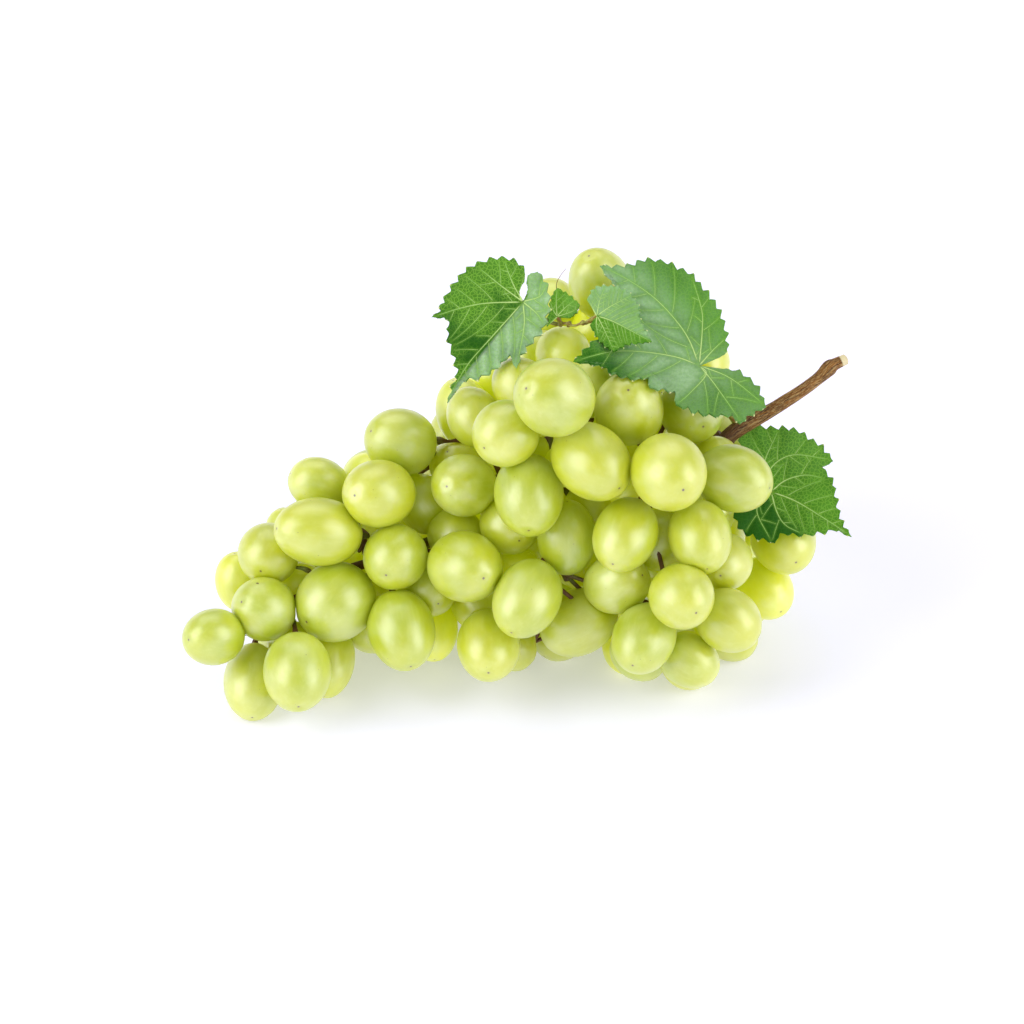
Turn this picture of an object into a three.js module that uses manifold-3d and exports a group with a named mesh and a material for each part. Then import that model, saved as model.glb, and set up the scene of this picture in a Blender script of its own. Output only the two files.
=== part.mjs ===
// A bunch of white grapes lying on its side, with a cutting of its cane and five vine leaves.
// Millimetres, +Z up, +X along the bunch towards the cut end of the cane.
import * as THREE from "three";
import { mergeVertices } from "three/addons/utils/BufferGeometryUtils.js";
import Module from "manifold-3d";

const wasm = await Module();
wasm.setup();

// ---- driving dimensions ----

// The near side is set out by how it shows to an eye in front, looking down on the bunch.
const eyeRise = THREE.MathUtils.degToRad(30); // above the horizon
const eyeDistance = 1100; // to the middle of the bunch
const eyeAim = 50; // height looked at
const datum = [2.35, 13.14]; // x and y of the whole cutting's middle in the setting-out frame

// Berries of the near side: across, up, width, length, lean, turn, behind.
// lean: the tip's direction in the view, anticlockwise; turn: how far the tip turns from the eye.
const faceBerries = [
  [26.5, 68.5, 19, 25, 115, 45, 20],
  [12, 62, 16, 17, -60, 35, 35],
  [26, 54.5, 17, 18.5, -60, 35, 30],
  [15.5, 47.5, 16.5, 18, -60, 35, 0],
  [6.5, 47, 16.5, 18, -60, 35, 10],
  [57, 45, 16.5, 18, -60, 35, 15],
  [-4, 41, 17, 19, 180, 70, 20],
  [31.5, 41, 16.5, 18, -60, 35, 5],
  [23.5, 37.5, 17, 19, 90, 70, -10],
  [12.5, 34.5, 23.5, 28, 165, 40, -40],
  [35, 31, 21, 25.5, 95, 25, -20],
  [54, 30.5, 19.5, 21, -60, 35, -10],
  [-14, 29.5, 17.5, 23, 110, 70, 10],
  [-2, 23.5, 20, 21, -145, 50, -30],
  [-33.5, 21, 20.5, 23, 160, 55, 0],
  [24, 15, 22, 28.5, -45, 55, -30],
  [61, 14.5, 16, 17, -60, 35, -5],
  [-17, 14, 15.5, 16.5, 120, 35, 5],
  [47, 12, 22.5, 27.5, -55, 30, -40],
  [-43, 10, 15.5, 16.5, -60, 35, 20],
  [66.5, 10, 20, 24.5, -15, 65, -20],
  [-58, 8.5, 16, 19, 160, 75, 5],
  [-14.5, 8, 19, 24, -175, 25, -15],
  [-40, 5.5, 20.5, 24.5, -175, 35, -20],
  [5, 5, 21.5, 27, -90, 55, -20],
  [-26.5, 2.5, 16, 19.5, 120, 70, 5],
  [24, 1, 16.5, 18, -60, 35, -5],
  [-0.5, -4, 18, 19, -60, 35, -10],
  [-58, -6, 20.5, 27.5, 175, 65, -15],
  [34, -7, 19.5, 25.5, -115, 50, -35],
  [-17, -7, 16.5, 18, -60, 35, -5],
  [56.5, -7.5, 19, 24.5, -80, 55, -30],
  [16.5, -7.5, 18, 23.5, 90, 70, -15],
  [81.5, -8.5, 19.5, 23.5, -65, 40, 5],
  [44.5, -8.5, 17, 19, -90, 75, -20],
  [-73, -12.5, 18.5, 19.5, -110, 35, 0],
  [-35, -13.5, 19.5, 21, -115, 35, -15],
  [63.5, -15, 17, 21, -110, 25, -10],
  [-14, -16.5, 21.5, 26.5, -30, 30, -20],
  [-81.5, -21, 15, 19, 100, 70, 10],
  [31.5, -21.5, 18, 22.5, 20, 45, -15],
  [75.5, -23, 17, 21, -55, 55, 15],
  [-24.5, -23, 16.5, 18, -60, 35, -5],
  [51, -25.5, 19.5, 21.5, -50, 35, -30],
  [4.5, -26, 20, 26.5, -115, 60, -25],
  [-53, -27, 23.5, 25.5, -145, 55, -10],
  [-10, -27.5, 16.5, 18, -60, 35, 0],
  [-74.5, -29, 19, 20.5, 160, 40, -15],
  [65, -32.5, 19, 21, -35, 80, -10],
  [-41.5, -33, 18.5, 20, -90, 35, 5],
  [20, -33, 20.5, 25, 25, 70, -5],
  [-24, -34.5, 15.5, 21.5, -85, 70, 20],
  [-33, -35.5, 20, 26.5, -75, 60, -15],
  [-89.5, -37.5, 17, 20, -175, 45, -15],
  [39.5, -38, 19, 25, -115, 45, -20],
  [-7, -40, 19, 25, -90, 40, -10],
  [35, -40, 16, 18, -90, 70, 15],
  [53, -44.5, 17.5, 19, -60, 35, 5],
  [-54.5, -45, 15, 22.5, -100, 70, 5],
  [-64.5, -48, 20.5, 25.5, -85, 55, -20],
  [-77.5, -51, 18, 24.5, -90, 60, -10],
];

// The bunch's outline in the same view: along its top and along its foot.
const skyline = [
  [-96, -36], [-89, -26], [-79, -10], [-64, 9], [-34, 27], [-4, 49], [11, 59],
  [26, 65], [41, 62], [56, 52], [71, 22], [86, 1], [92, -5],
];
const footline = [
  [-96, -41], [-89, -47], [-79, -61], [-64, -59], [-34, -49], [-4, -50],
  [41, -51], [56, -53], [71, -44], [86, -26], [92, -19],
];
const squat = 0.92; // height of a cross-section over the width of its outline

// The main stem inside the bunch, from the cane to the tail: x, y, z and radius.
const rachis = [
  [63, 16, 68, 2.4], [52, 15, 58, 2.3], [30, 12, 49, 2.1], [5, 8, 44, 1.9], [-18, 4, 40, 1.7],
  [-38, -2, 35, 1.5], [-52, -5, 32, 1.3], [-64, -11, 27, 1.2], [-73, -16, 24, 1],
];
const shoulder = [[20, 11, 47, 1.7], [11, 3, 66, 1.6], [12, 8, 78, 1.2]]; // the branch that shows
const branches = {
  from: 56, to: -66, every: 9, // along the main stem
  turn: 137.5, // degrees round it from one to the next
  share: 0.5, // of the way to the skin
  lean: -0.3, // towards the tail
  radius: [1.2, 0.8],
};
const stemRoom = 2.2; // from a stem's axis to the nearest hidden berry
const woodRoom = 4.5; // and from the cane's or its shoot's
const pedicel = { radius: 0.8, taper: 0.7, sunk: 1.5, choices: 12 };
const rootPitch = 4; // between the places on a stem where pedicels may start
const core = { from: -60, to: 62, share: 0.5, rows: 9, sides: 10 }; // the packed middle

// How the near berries settle: steps, the pulls towards their own depth, off and onto their
// neighbours, how far off and how squarely in line a neighbour still counts, and the lift.
const settle = { steps: 200, home: 0.01, off: 0.17, onto: 0.03, reach: 12, inLine: 0.92, lift: 0.3 };

// The hidden berries, thrown against the far side and the underside.
const thrown = {
  wanted: 52, tries: 9000,
  from: -80, to: 75, // along the bunch
  turnFrom: -0.75, turnTo: 0.5, // round it from the back, in half turns
  width: [15.5, 19.5],
  slender: 1.17, // length over width
  near: 30, // further apart than this, two berries can't touch
};
const squeeze = 0.8; // how deep neighbours may press into each other
const nearTable = 2.5; // a hidden berry this low comes to rest
const press = 0.6; // how far a resting berry is flattened by the surface
const plump = 1.02; // a faceted berry's size over the round one's

// The cane and its side shoot: across, up, behind and radius.
const cane = [
  [64.8, 20, 2, 1.8], [66.5, 24.5, 4, 2.5], [70, 27.5, 5, 2.6], [76, 30.8, 6, 2.4],
  [83.4, 34.4, 7, 2.2], [89.4, 38, 8, 2], [93.5, 41.6, 9, 1.9], [95.4, 43.4, 9, 2.4],
  [97, 44.3, 9.5, 1.8], [100.5, 46, 10, 1.7],
];
const shoot = [
  [68, 26, 4, 1.6], [61, 36, -1, 1.4], [55, 42, -4, 1.3], [50, 48, -4, 1.2], [42, 53, -4, 1.1],
  [34, 55, -8, 1], [26, 56.5, -11, 1], [19, 56.7, -9, 0.9], [13.8, 56.2, -7, 0.8],
];
const woodGap = 0.35; // left round the wood by what it meets
const limbSides = { cane: 8, shoot: 6, stem: 6, branch: 4, pedicel: 3, petiole: 6 };

// Leaves: where the petiole meets the blade, the outline from one side of the notch round to the
// other, and how the blade lies: behind, how that grows across and up, and its fold or bend.
const leafThick = 0.7;
const leafClear = 2; // from the middle of a blade to a berry
const petioleRadius = 0.8;
const tooth = { pitch: 5, depth: 0.9, peak: 0.65 }; // peak: the tip's place along the tooth
const bladeRings = [0.4, 0.75, 1];
const bendOver = 8; // how gently a bent blade turns over
const lookAside = 0.5; // the step that finds which way a blade faces
const leaves = [
  {
    name: "leaf_left",
    base: [3.3, 63],
    outline: [
      [3.9, 71.4], [3.2, 73.6], [0, 75.6], [-4.5, 76.2], [-12, 73.8], [-16.5, 69.6], [-21.3, 62.1],
      [-24, 58.5], [-18.8, 57], [-19.2, 52.2], [-16.8, 44.1], [-16.4, 40], [-19.2, 33.4],
      [-15.2, 39.2], [-7.8, 41.1], [-1.5, 46.8], [1.5, 43.2], [9.9, 56.1], [11.1, 64.7],
      [9.5, 69.8], [7.6, 72.1], [4.7, 71],
    ],
    behind: -7, slope: [0, 0.25], bend: 0, fold: { along: [-0.63, -0.777], rise: 0.4 },
    petiole: [[13.8, 56.2, -6.5], [9, 58, -3.5], [3.3, 63, -6.8]],
  },
  {
    name: "leaf_small_left",
    base: [13.5, 58.5],
    outline: [
      [17.4, 58.2], [19.2, 59.7], [20.4, 62.1], [18.6, 63.9], [16.2, 65.7], [13.5, 67.2],
      [12, 64.8], [11.1, 60.6], [10.5, 55.5],
    ],
    behind: -10, slope: [0.1, 0.5], bend: 0, fold: { along: [0.3, 0.95], rise: 0.35 },
    petiole: [[15, 56.4, -7.5], [14.2, 57.3, -9], [13.5, 58.5, -9.9]],
  },
  {
    name: "leaf_small_right",
    base: [25.5, 58.8],
    outline: [
      [23.4, 56.1], [25.5, 52.5], [27.6, 50.1], [30.6, 48], [34.8, 50.1], [42, 51],
      [38.4, 57.6], [37.8, 62.1], [33.9, 66.6], [29.4, 67.8], [24.9, 67.2], [22.5, 63.6],
    ],
    behind: -16, slope: [0, 0.5], bend: 0, fold: { along: [0.7, -0.7], rise: 0.3 },
    petiole: [[22, 56.6, -10], [23.6, 57.6, -13], [25.5, 58.8, -15.9]],
  },
  {
    name: "leaf_large",
    base: [56.1, 43.8],
    outline: [
      [62.4, 46.5], [64.5, 48], [64.5, 51.6], [63, 58.2], [60.6, 63], [56.4, 68.1],
      [52.8, 71.7], [44.4, 75.3], [38.7, 75.3], [34.8, 73.8], [26.4, 73.8], [29.4, 70.2],
      [31.8, 67.2], [30, 60.6], [27.9, 54.6], [23.4, 50.1], [18.3, 45.1], [26.4, 44.2],
      [29.4, 42], [34.8, 40.2], [40.8, 40.2], [41.4, 37.2], [48.9, 36], [49.2, 32.1],
      [57.9, 29.1], [65.4, 28.8], [68.4, 26.4], [71.4, 29.1], [76.2, 31.5], [73.5, 37.5],
      [68.4, 41.6], [63, 42.8],
    ],
    behind: -13, slope: [0.42, 1], bend: 0.5, fold: { along: [-0.7, 0.7], rise: 0 },
    petiole: [[52.5, 45.2, -4.6], [54.4, 44, -8.5], [56.1, 43.8, -12.8]],
  },
  {
    name: "leaf_right",
    base: [77.7, 6],
    outline: [
      [67, 8], [66.5, 0.6], [68.4, -4.8], [71.4, -6.9], [78.9, -9.3], [80.4, -6.3],
      [87.9, -6.9], [93.9, -6], [101.7, -7.2], [99, -3], [96.9, 5.1], [96.3, 9],
      [93, 13.5], [96.3, 15.3], [93, 19.5], [89.7, 21.6], [84.9, 24.6], [78.9, 25.2],
      [71.4, 25.2], [67.8, 21.6],
    ],
    tucked: true, // it lies on the berries' far side
    behind: -3, slope: [0.1, 0.45], bend: 0, fold: { along: [1, -0.5], rise: 0 },
    petiole: [[68.5, 26, 6.5], [69.8, 19, 9], [73, 10.5, 2], [77.9, 5.7, -3.2]],
  },
];

// ---- helpers ----

const rise = { sin: Math.sin(eyeRise), cos: Math.cos(eyeRise) };
const toEye = new THREE.Vector3(0, -rise.cos, rise.sin);
const eye = new THREE.Vector3(0, 0, eyeAim).addScaledVector(toEye, eyeDistance);

function seen(across, up, behind) {
  const grow = 1 + behind / eyeDistance;
  return new THREE.Vector3(
    across * grow,
    up * grow * rise.sin + behind * rise.cos,
    eyeAim + up * grow * rise.cos - behind * rise.sin,
  );
}

// One number of a line of points at a given first coordinate.
function along(points, x, column = 1) {
  let i = 0;
  while (i < points.length - 2 && x > points[i + 1][0]) i++;
  const [a, b] = [points[i], points[i + 1]];
  const t = Math.min(Math.max((x - a[0]) / (b[0] - a[0]), 0), 1);
  return a[column] + t * (b[column] - a[column]);
}

// The bunch's cross-section at one place along it, an ellipse that lies on the surface.
function section(x) {
  const top = along(skyline, x);
  const foot = along(footline, x);
  const high = (squat * (top - foot)) / 2;
  const deep = ((top - foot) / 2) * Math.sqrt(1 - (squat * rise.cos) ** 2) / rise.sin;
  const y = ((top + foot) / 2 - (high - eyeAim) * rise.cos) / rise.sin;
  return { y, high, deep };
}

// Seeded draws between 0 and 1.
let seed = 2203;
function draw() {
  seed = (seed * 16807) % 2147483647;
  return seed / 2147483647;
}

const nearestOnLine = (a, b, p) =>
  new THREE.Line3(a, b).closestPointToPoint(p, true, new THREE.Vector3());

// The nearest point to p on any of several limbs.
function nearestOn(limbs, p) {
  let best = null;
  let bestGap = Infinity;
  for (const path of limbs)
    for (let i = 1; i < path.length; i++) {
      const q = nearestOnLine(path[i - 1].at, path[i].at, p);
      const gap = q.distanceTo(p);
      if (gap < bestGap) [best, bestGap] = [q, gap];
    }
  return best;
}

// ---- stems ----

const limbOf = (rows) =>
  rows.map(([x, y, z, radius]) => ({ at: new THREE.Vector3(x, y, z), radius }));
const limbSeen = (rows) =>
  rows.map(([across, up, behind, radius]) => ({ at: seen(across, up, behind), radius }));

// Side branches leave the main stem in turn all round it and reach part of the way to the skin.
function sideBranches() {
  const found = [];
  const count = Math.round((branches.from - branches.to) / branches.every);
  const fromTail = [...rachis].reverse();
  for (let k = 0; k <= count; k++) {
    const x = branches.from - k * branches.every;
    const root = new THREE.Vector3(x, along(fromTail, x, 1), along(fromTail, x, 2));
    const turn = THREE.MathUtils.degToRad(k * branches.turn);
    const { y, high, deep } = section(x);
    const [cy, cz] = [Math.cos(turn), Math.sin(turn)];
    const a = (cy / deep) ** 2 + (cz / high) ** 2;
    const b = ((root.y - y) * cy) / deep ** 2 + ((root.z - high) * cz) / high ** 2;
    const c = ((root.y - y) / deep) ** 2 + ((root.z - high) / high) ** 2 - 1;
    const skin = (-b + Math.sqrt(Math.max(b * b - a * c, 0))) / a;
    const way = new THREE.Vector3(branches.lean, cy, cz);
    const end = root.clone().addScaledVector(way, skin * branches.share);
    found.push([{ at: root, radius: branches.radius[0] }, { at: end, radius: branches.radius[1] }]);
  }
  return found;
}

const woods = [limbSeen(cane), limbSeen(shoot)];
const stems = [limbOf(rachis), limbOf(shoulder), ...sideBranches()];

// ---- where the berries sit ----

const up = new THREE.Vector3(0, 0, 1);

// How far a berry reaches from its middle in a direction.
function reachOf(b, direction) {
  const lengthwise = direction.dot(b.tip) ** 2;
  return 0.5 / Math.sqrt((1 - lengthwise) / b.width ** 2 + lengthwise / b.length ** 2);
}

const meanReach = (width, length) => (2 * width + length) / 6;

function faceBerry([across, up, width, length, leanDegrees, turnDegrees, behind]) {
  const lean = THREE.MathUtils.degToRad(leanDegrees);
  const turn = THREE.MathUtils.degToRad(turnDegrees);
  const inView = new THREE.Vector3(
    Math.cos(lean), Math.sin(lean) * rise.sin, Math.sin(lean) * rise.cos);
  const tip = inView.multiplyScalar(Math.sin(turn)).addScaledVector(toEye, Math.cos(turn));
  return { across, up, width, length, tip, wanted: behind, behind, reach: meanReach(width, length) };
}

// How far two near berries should move apart along the sight, or together if it is negative.
function pushOf(p, q) {
  const [gp, gq] = [1 + p.behind / eyeDistance, 1 + q.behind / eyeDistance];
  const apart = Math.hypot(p.across * gp - q.across * gq, p.up * gp - q.up * gq);
  const touch = p.reach * gp + q.reach * gq - squeeze;
  if (apart >= touch) return 0;
  const side = q.wanted > p.wanted ? 1 : -1;
  const short = Math.sqrt(touch ** 2 - apart ** 2) - side * (q.behind - p.behind);
  if (short > 0) return side * short * settle.off;
  if (short < -settle.reach || apart > touch * settle.inLine) return 0;
  return side * short * settle.onto;
}

// The near side keeps its places in the view, and its depths settle until no two overlap.
function settleFace() {
  const face = faceBerries.map(faceBerry);
  for (let step = 0; step < settle.steps; step++) {
    const move = face.map((b) => (b.wanted - b.behind) * settle.home);
    for (let i = 0; i < face.length; i++)
      for (let j = i + 1; j < face.length; j++) {
        const push = pushOf(face[i], face[j]);
        move[i] -= push;
        move[j] += push;
      }
    face.forEach((b, i) => {
      b.behind += move[i];
      const grow = 1 + b.behind / eyeDistance;
      const sunk = reachOf(b, up) * grow - press - seen(b.across, b.up, b.behind).z;
      if (sunk > 0) b.behind -= (sunk / rise.sin) * settle.lift;
    });
  }
  return face.map((b) => {
    const grow = 1 + b.behind / eyeDistance;
    return {
      at: seen(b.across, b.up, b.behind), tip: b.tip, near: true,
      width: b.width * grow, length: b.length * grow, reach: b.reach * grow,
    };
  });
}

function overlapOf(a, b) {
  const apart = a.at.clone().sub(b.at);
  const gap = apart.length();
  apart.divideScalar(gap);
  return reachOf(a, apart) + reachOf(b, apart) - gap;
}

// A berry finds room where it keeps off the stems and hardly overlaps the others.
function hasRoom(all, b) {
  if (nearestOn(stems, b.at).distanceTo(b.at) < b.reach + stemRoom) return false;
  if (nearestOn(woods, b.at).distanceTo(b.at) < b.reach + woodRoom) return false;
  const touching = (other) => other.at.distanceTo(b.at) < thrown.near && overlapOf(b, other) > squeeze;
  return !all.some(touching);
}

// A berry against the skin, its tip pointing away from its stem; one near the surface rests on it.
function hiddenBerry() {
  const x = thrown.from + (thrown.to - thrown.from) * draw();
  const turn = Math.PI * (thrown.turnFrom + (thrown.turnTo - thrown.turnFrom) * draw());
  const width = thrown.width[0] + (thrown.width[1] - thrown.width[0]) * draw();
  const length = width * thrown.slender;
  const reach = meanReach(width, length);
  const { y, high, deep } = section(x);
  if (high < reach) return null;
  const at = new THREE.Vector3(
    x, y + (deep - reach) * Math.cos(turn), high + (high - reach) * Math.sin(turn));
  const tip = at.clone().sub(nearestOn(stems, at)).normalize();
  const b = { at, tip, width, length, reach, near: false };
  const low = at.z - reachOf(b, up);
  if (low < nearTable) at.z -= low + press;
  return b;
}

function coverFarSide(all) {
  const wanted = all.length + thrown.wanted;
  for (let tries = 0; tries < thrown.tries && all.length < wanted; tries++) {
    const b = hiddenBerry();
    if (b && hasRoom(all, b)) all.push(b);
  }
}

const berries = settleFace();
coverFarSide(berries);

// ---- solids ----

function solid(geometry) {
  geometry.deleteAttribute("normal");
  geometry.deleteAttribute("uv");
  const merged = mergeVertices(geometry, 1e-4);
  return new wasm.Manifold(new wasm.Mesh({
    numProp: 3,
    vertProperties: merged.attributes.position.array,
    triVerts: new Uint32Array(merged.index.array),
  }));
}

function berryOf({ at, tip, width, length, near }) {
  const round = near
    ? new THREE.IcosahedronGeometry(plump / 2, 1)
    : new THREE.SphereGeometry(plump / 2, 7, 5).rotateX(Math.PI / 2);
  const turned = new THREE.Quaternion().setFromUnitVectors(up, tip);
  const size = new THREE.Vector3(width, width, length);
  return solid(round.applyMatrix4(new THREE.Matrix4().compose(at, turned, size)));
}

function biggestBody(shape) {
  return shape.decompose().sort((a, b) => b.volume() - a.volume())[0];
}

function meshOf(shape, name, material) {
  const { numProp, vertProperties, triVerts } = shape.getMesh();
  const points = new Float32Array((vertProperties.length / numProp) * 3);
  for (let i = 0; i < points.length / 3; i++)
    points.set(vertProperties.subarray(i * numProp, i * numProp + 3), i * 3);
  const g = new THREE.BufferGeometry();
  g.setAttribute("position", new THREE.BufferAttribute(points, 3));
  g.setIndex(new THREE.BufferAttribute(triVerts, 1));
  g.computeVertexNormals();
  const mesh = new THREE.Mesh(g, material);
  mesh.name = name;
  return mesh;
}

function solidOf(corners, faces) {
  return new wasm.Manifold(new wasm.Mesh({
    numProp: 3,
    vertProperties: new Float32Array(corners.flatMap((p) => p.toArray())),
    triVerts: new Uint32Array(faces.flat()),
  }));
}

// A closed skin over rings of corners, all with the same number of sides.
function skinOf(corners, sides) {
  const faces = [];
  for (let k = 2; k < sides; k++) faces.push([0, k, k - 1]);
  for (let start = sides; start < corners.length; start += sides)
    for (let k = 0; k < sides; k++) {
      const next = (k + 1) % sides;
      const [a, b] = [start - sides, start];
      faces.push([a + k, a + next, b + next], [a + k, b + next, b + k]);
    }
  const last = corners.length - sides;
  for (let k = 2; k < sides; k++) faces.push([last, last + k - 1, last + k]);
  return solidOf(corners, faces);
}

// A round limb through its points, each with its own radius.
function limb(points, sides, grow = 0) {
  const corners = points.flatMap(({ at, radius }, i) => {
    const before = points[Math.max(i - 1, 0)].at;
    const after = points[Math.min(i + 1, points.length - 1)].at;
    const way = after.clone().sub(before).normalize();
    const side = new THREE.Vector3(0.31, -0.87, 0.38).cross(way).normalize(); // along no limb
    const other = way.clone().cross(side);
    return Array.from({ length: sides }, (_, k) => {
      const turn = (2 * Math.PI * k) / sides;
      const reach = radius + grow;
      return at.clone().addScaledVector(side, reach * Math.cos(turn))
        .addScaledVector(other, reach * Math.sin(turn));
    });
  });
  return skinOf(corners, sides);
}

// The packed middle of the bunch, which the berries stand out of.
function coreOf() {
  const corners = [];
  for (let i = 0; i <= core.rows; i++) {
    const x = core.from + ((core.to - core.from) * i) / core.rows;
    const { y, high, deep } = section(x);
    for (let k = 0; k < core.sides; k++) {
      const turn = (2 * Math.PI * k) / core.sides;
      corners.push(new THREE.Vector3(
        x, y + deep * core.share * Math.cos(turn), high + high * core.share * Math.sin(turn)));
    }
  }
  return skinOf(corners, core.sides);
}

// Places on the stems where pedicels may start.
const roots = stems.flatMap((path) => path.slice(1).flatMap(({ at }, i) => {
  const from = path[i].at;
  const steps = Math.ceil(at.distanceTo(from) / rootPitch);
  return Array.from({ length: steps }, (_, k) => from.clone().lerp(at, (k + 1) / steps));
}));

// A pedicel takes the shortest way from a stem to its berry that no other berry blocks.
function pedicelOf(b) {
  const end = b.at.clone().addScaledVector(b.tip, pedicel.sunk - b.length / 2);
  const near = [...roots].sort((p, q) => p.distanceTo(end) - q.distanceTo(end));
  const isOpen = (root) => !berries.some((other) => other !== b
    && nearestOnLine(root, end, other.at).distanceTo(other.at) < other.reach);
  const root = near.slice(0, pedicel.choices).find(isOpen) ?? near[0];
  const thin = { at: root, radius: pedicel.radius * pedicel.taper };
  return limb([thin, { at: end, radius: pedicel.radius }], limbSides.pedicel);
}

// The berries, on their stems round the packed middle. Only those that stand clear of what is
// already joined need a pedicel of their own.
function bunchOf() {
  const round = berries.map(berryOf);
  const [main, side, ...rest] = stems;
  const stalks = [main, side].map((s) => limb(s, limbSides.stem));
  const joined = [coreOf(), ...stalks, ...rest.map((s) => limb(s, limbSides.branch)), ...round];
  const dense = biggestBody(wasm.Manifold.union(joined));
  const isLoose = (b, i) => dense.intersect(round[i]).volume() < round[i].volume() / 2;
  const whole = wasm.Manifold.union([...joined, ...berries.filter(isLoose).map(pedicelOf)]);
  const below = solid(new THREE.BoxGeometry(400, 400, 40).translate(0, 0, -20));
  return biggestBody(whole.subtract(below).subtract(woodOf(woodGap)));
}

const woodOf = (grow) =>
  limb(woods[0], limbSides.cane, grow).add(limb(woods[1], limbSides.shoot, grow));

// ---- leaves ----

// Where a blade lies: on a plane that is folded along its midrib or bent over at its base, and
// pushed clear of each berry that it would touch.
function lieOf(leaf, across, up) {
  const [da, du] = [across - leaf.base[0], up - leaf.base[1]];
  const { along: [fx, fy], rise: folded } = leaf.fold;
  const bent = leaf.bend * bendOver * Math.log(Math.cosh(du / bendOver));
  const tilted = leaf.behind + leaf.slope[0] * da + leaf.slope[1] * du;
  const at = seen(across, up, tilted - folded * Math.abs(da * fy - du * fx) - bent);
  const sight = at.clone().sub(eye).normalize();
  for (const b of berries) {
    const away = at.clone().sub(b.at);
    const gap = away.length();
    const reach = reachOf(b, away.clone().divideScalar(gap)) + leafClear;
    if (gap >= reach) continue;
    const depth = away.dot(sight);
    const side = leaf.tucked && depth > 0 ? 1 : -1;
    at.addScaledVector(sight, -depth + side * Math.sqrt(depth ** 2 + reach ** 2 - gap ** 2));
  }
  return at;
}

// The outline with teeth along each of its sides.
function toothed(outline) {
  const rim = [];
  outline.slice(0, -1).forEach(([x, y], i) => {
    rim.push([x, y]);
    const [sx, sy] = [outline[i + 1][0] - x, outline[i + 1][1] - y];
    const out = tooth.depth / Math.hypot(sx, sy);
    const teeth = Math.round(Math.hypot(sx, sy) / tooth.pitch);
    for (let k = 0; k < teeth; k++) {
      const t = (k + tooth.peak) / teeth;
      rim.push([x + sx * t - sy * out, y + sy * t + sx * out]);
      if (k < teeth - 1) rim.push([x + (sx * (k + 1)) / teeth, y + (sy * (k + 1)) / teeth]);
    }
  });
  rim.push(outline[outline.length - 1]);
  return rim;
}

// A blade: rings of corners round the petiole, the same on its upper and its lower face.
function bladeOf(leaf) {
  const pair = (across, up) => {
    const at = lieOf(leaf, across, up);
    const beside = lieOf(leaf, across + lookAside, up).sub(lieOf(leaf, across - lookAside, up));
    const above = lieOf(leaf, across, up + lookAside).sub(lieOf(leaf, across, up - lookAside));
    const normal = beside.cross(above).setLength(leafThick / 2);
    return [at.clone().add(normal), at.sub(normal)];
  };
  const [bx, by] = leaf.base;
  const rim = toothed(leaf.outline);
  const corners = pair(bx, by);
  for (const share of bladeRings)
    for (const [x, y] of rim) corners.push(...pair(bx + (x - bx) * share, by + (y - by) * share));
  const n = rim.length;
  const edge = bladeRings.length - 1;
  const id = (ring, i) => 2 + (ring * n + i) * 2; // its upper corner; the lower one is next
  const faces = [];
  const both = (a, b, c) => faces.push([a, b, c], [a + 1, c + 1, b + 1]);
  const wall = (a, b) => faces.push([a, a + 1, b + 1], [a, b + 1, b]);
  for (let i = 0; i < n - 1; i++) {
    both(0, id(0, i), id(0, i + 1));
    for (let r = 1; r <= edge; r++) {
      both(id(r - 1, i), id(r, i), id(r, i + 1));
      both(id(r - 1, i), id(r, i + 1), id(r - 1, i + 1));
    }
    wall(id(edge, i), id(edge, i + 1));
  }
  wall(0, id(0, 0));
  wall(id(0, n - 1), 0);
  for (let r = 1; r <= edge; r++) {
    wall(id(r - 1, 0), id(r, 0));
    wall(id(r, n - 1), id(r - 1, n - 1));
  }
  return solidOf(corners, faces);
}

function leafOf(leaf) {
  const petiole = limbSeen(leaf.petiole.map((place) => [...place, petioleRadius]));
  const joined = bladeOf(leaf).add(limb(petiole, limbSides.petiole));
  return biggestBody(joined.subtract(woodOf(woodGap)));
}

// ---- the whole cutting ----

const colours = {
  berry: new THREE.MeshStandardMaterial({ color: 0xb9c94a, roughness: 0.35, metalness: 0 }),
  bark: new THREE.MeshStandardMaterial({ color: 0x6b4a33, roughness: 0.85, metalness: 0 }),
  leaf: new THREE.MeshStandardMaterial({ color: 0x3f7a35, roughness: 0.5, metalness: 0 }),
};

const group = new THREE.Group();
group.add(meshOf(bunchOf(), "bunch", colours.berry));
group.add(meshOf(woodOf(0), "cane", colours.bark));
for (const leaf of leaves) group.add(meshOf(leafOf(leaf), leaf.name, colours.leaf));
group.position.set(-datum[0], -datum[1], 0);
export default group;
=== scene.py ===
# A bunch of white grapes lying on its side with its cane and vine leaves, on a pale studio floor.
import math

import bpy
import numpy as np
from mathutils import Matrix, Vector, kdtree, noise


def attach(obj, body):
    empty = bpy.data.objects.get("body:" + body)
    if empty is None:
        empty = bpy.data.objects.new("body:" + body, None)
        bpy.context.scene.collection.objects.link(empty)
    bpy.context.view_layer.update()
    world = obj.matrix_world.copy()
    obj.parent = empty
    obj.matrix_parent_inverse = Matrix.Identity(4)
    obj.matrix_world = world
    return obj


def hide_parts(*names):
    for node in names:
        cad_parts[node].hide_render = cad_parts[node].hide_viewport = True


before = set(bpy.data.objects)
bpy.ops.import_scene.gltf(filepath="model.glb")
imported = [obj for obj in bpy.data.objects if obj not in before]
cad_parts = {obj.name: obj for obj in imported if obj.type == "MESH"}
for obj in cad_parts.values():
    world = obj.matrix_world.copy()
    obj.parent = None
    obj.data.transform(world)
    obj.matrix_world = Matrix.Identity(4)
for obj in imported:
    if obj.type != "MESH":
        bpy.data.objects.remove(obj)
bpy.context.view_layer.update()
print("frame loaded")

mm = 0.001

# Where everything sits, in millimetres, by the same rules as the solids.

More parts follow.
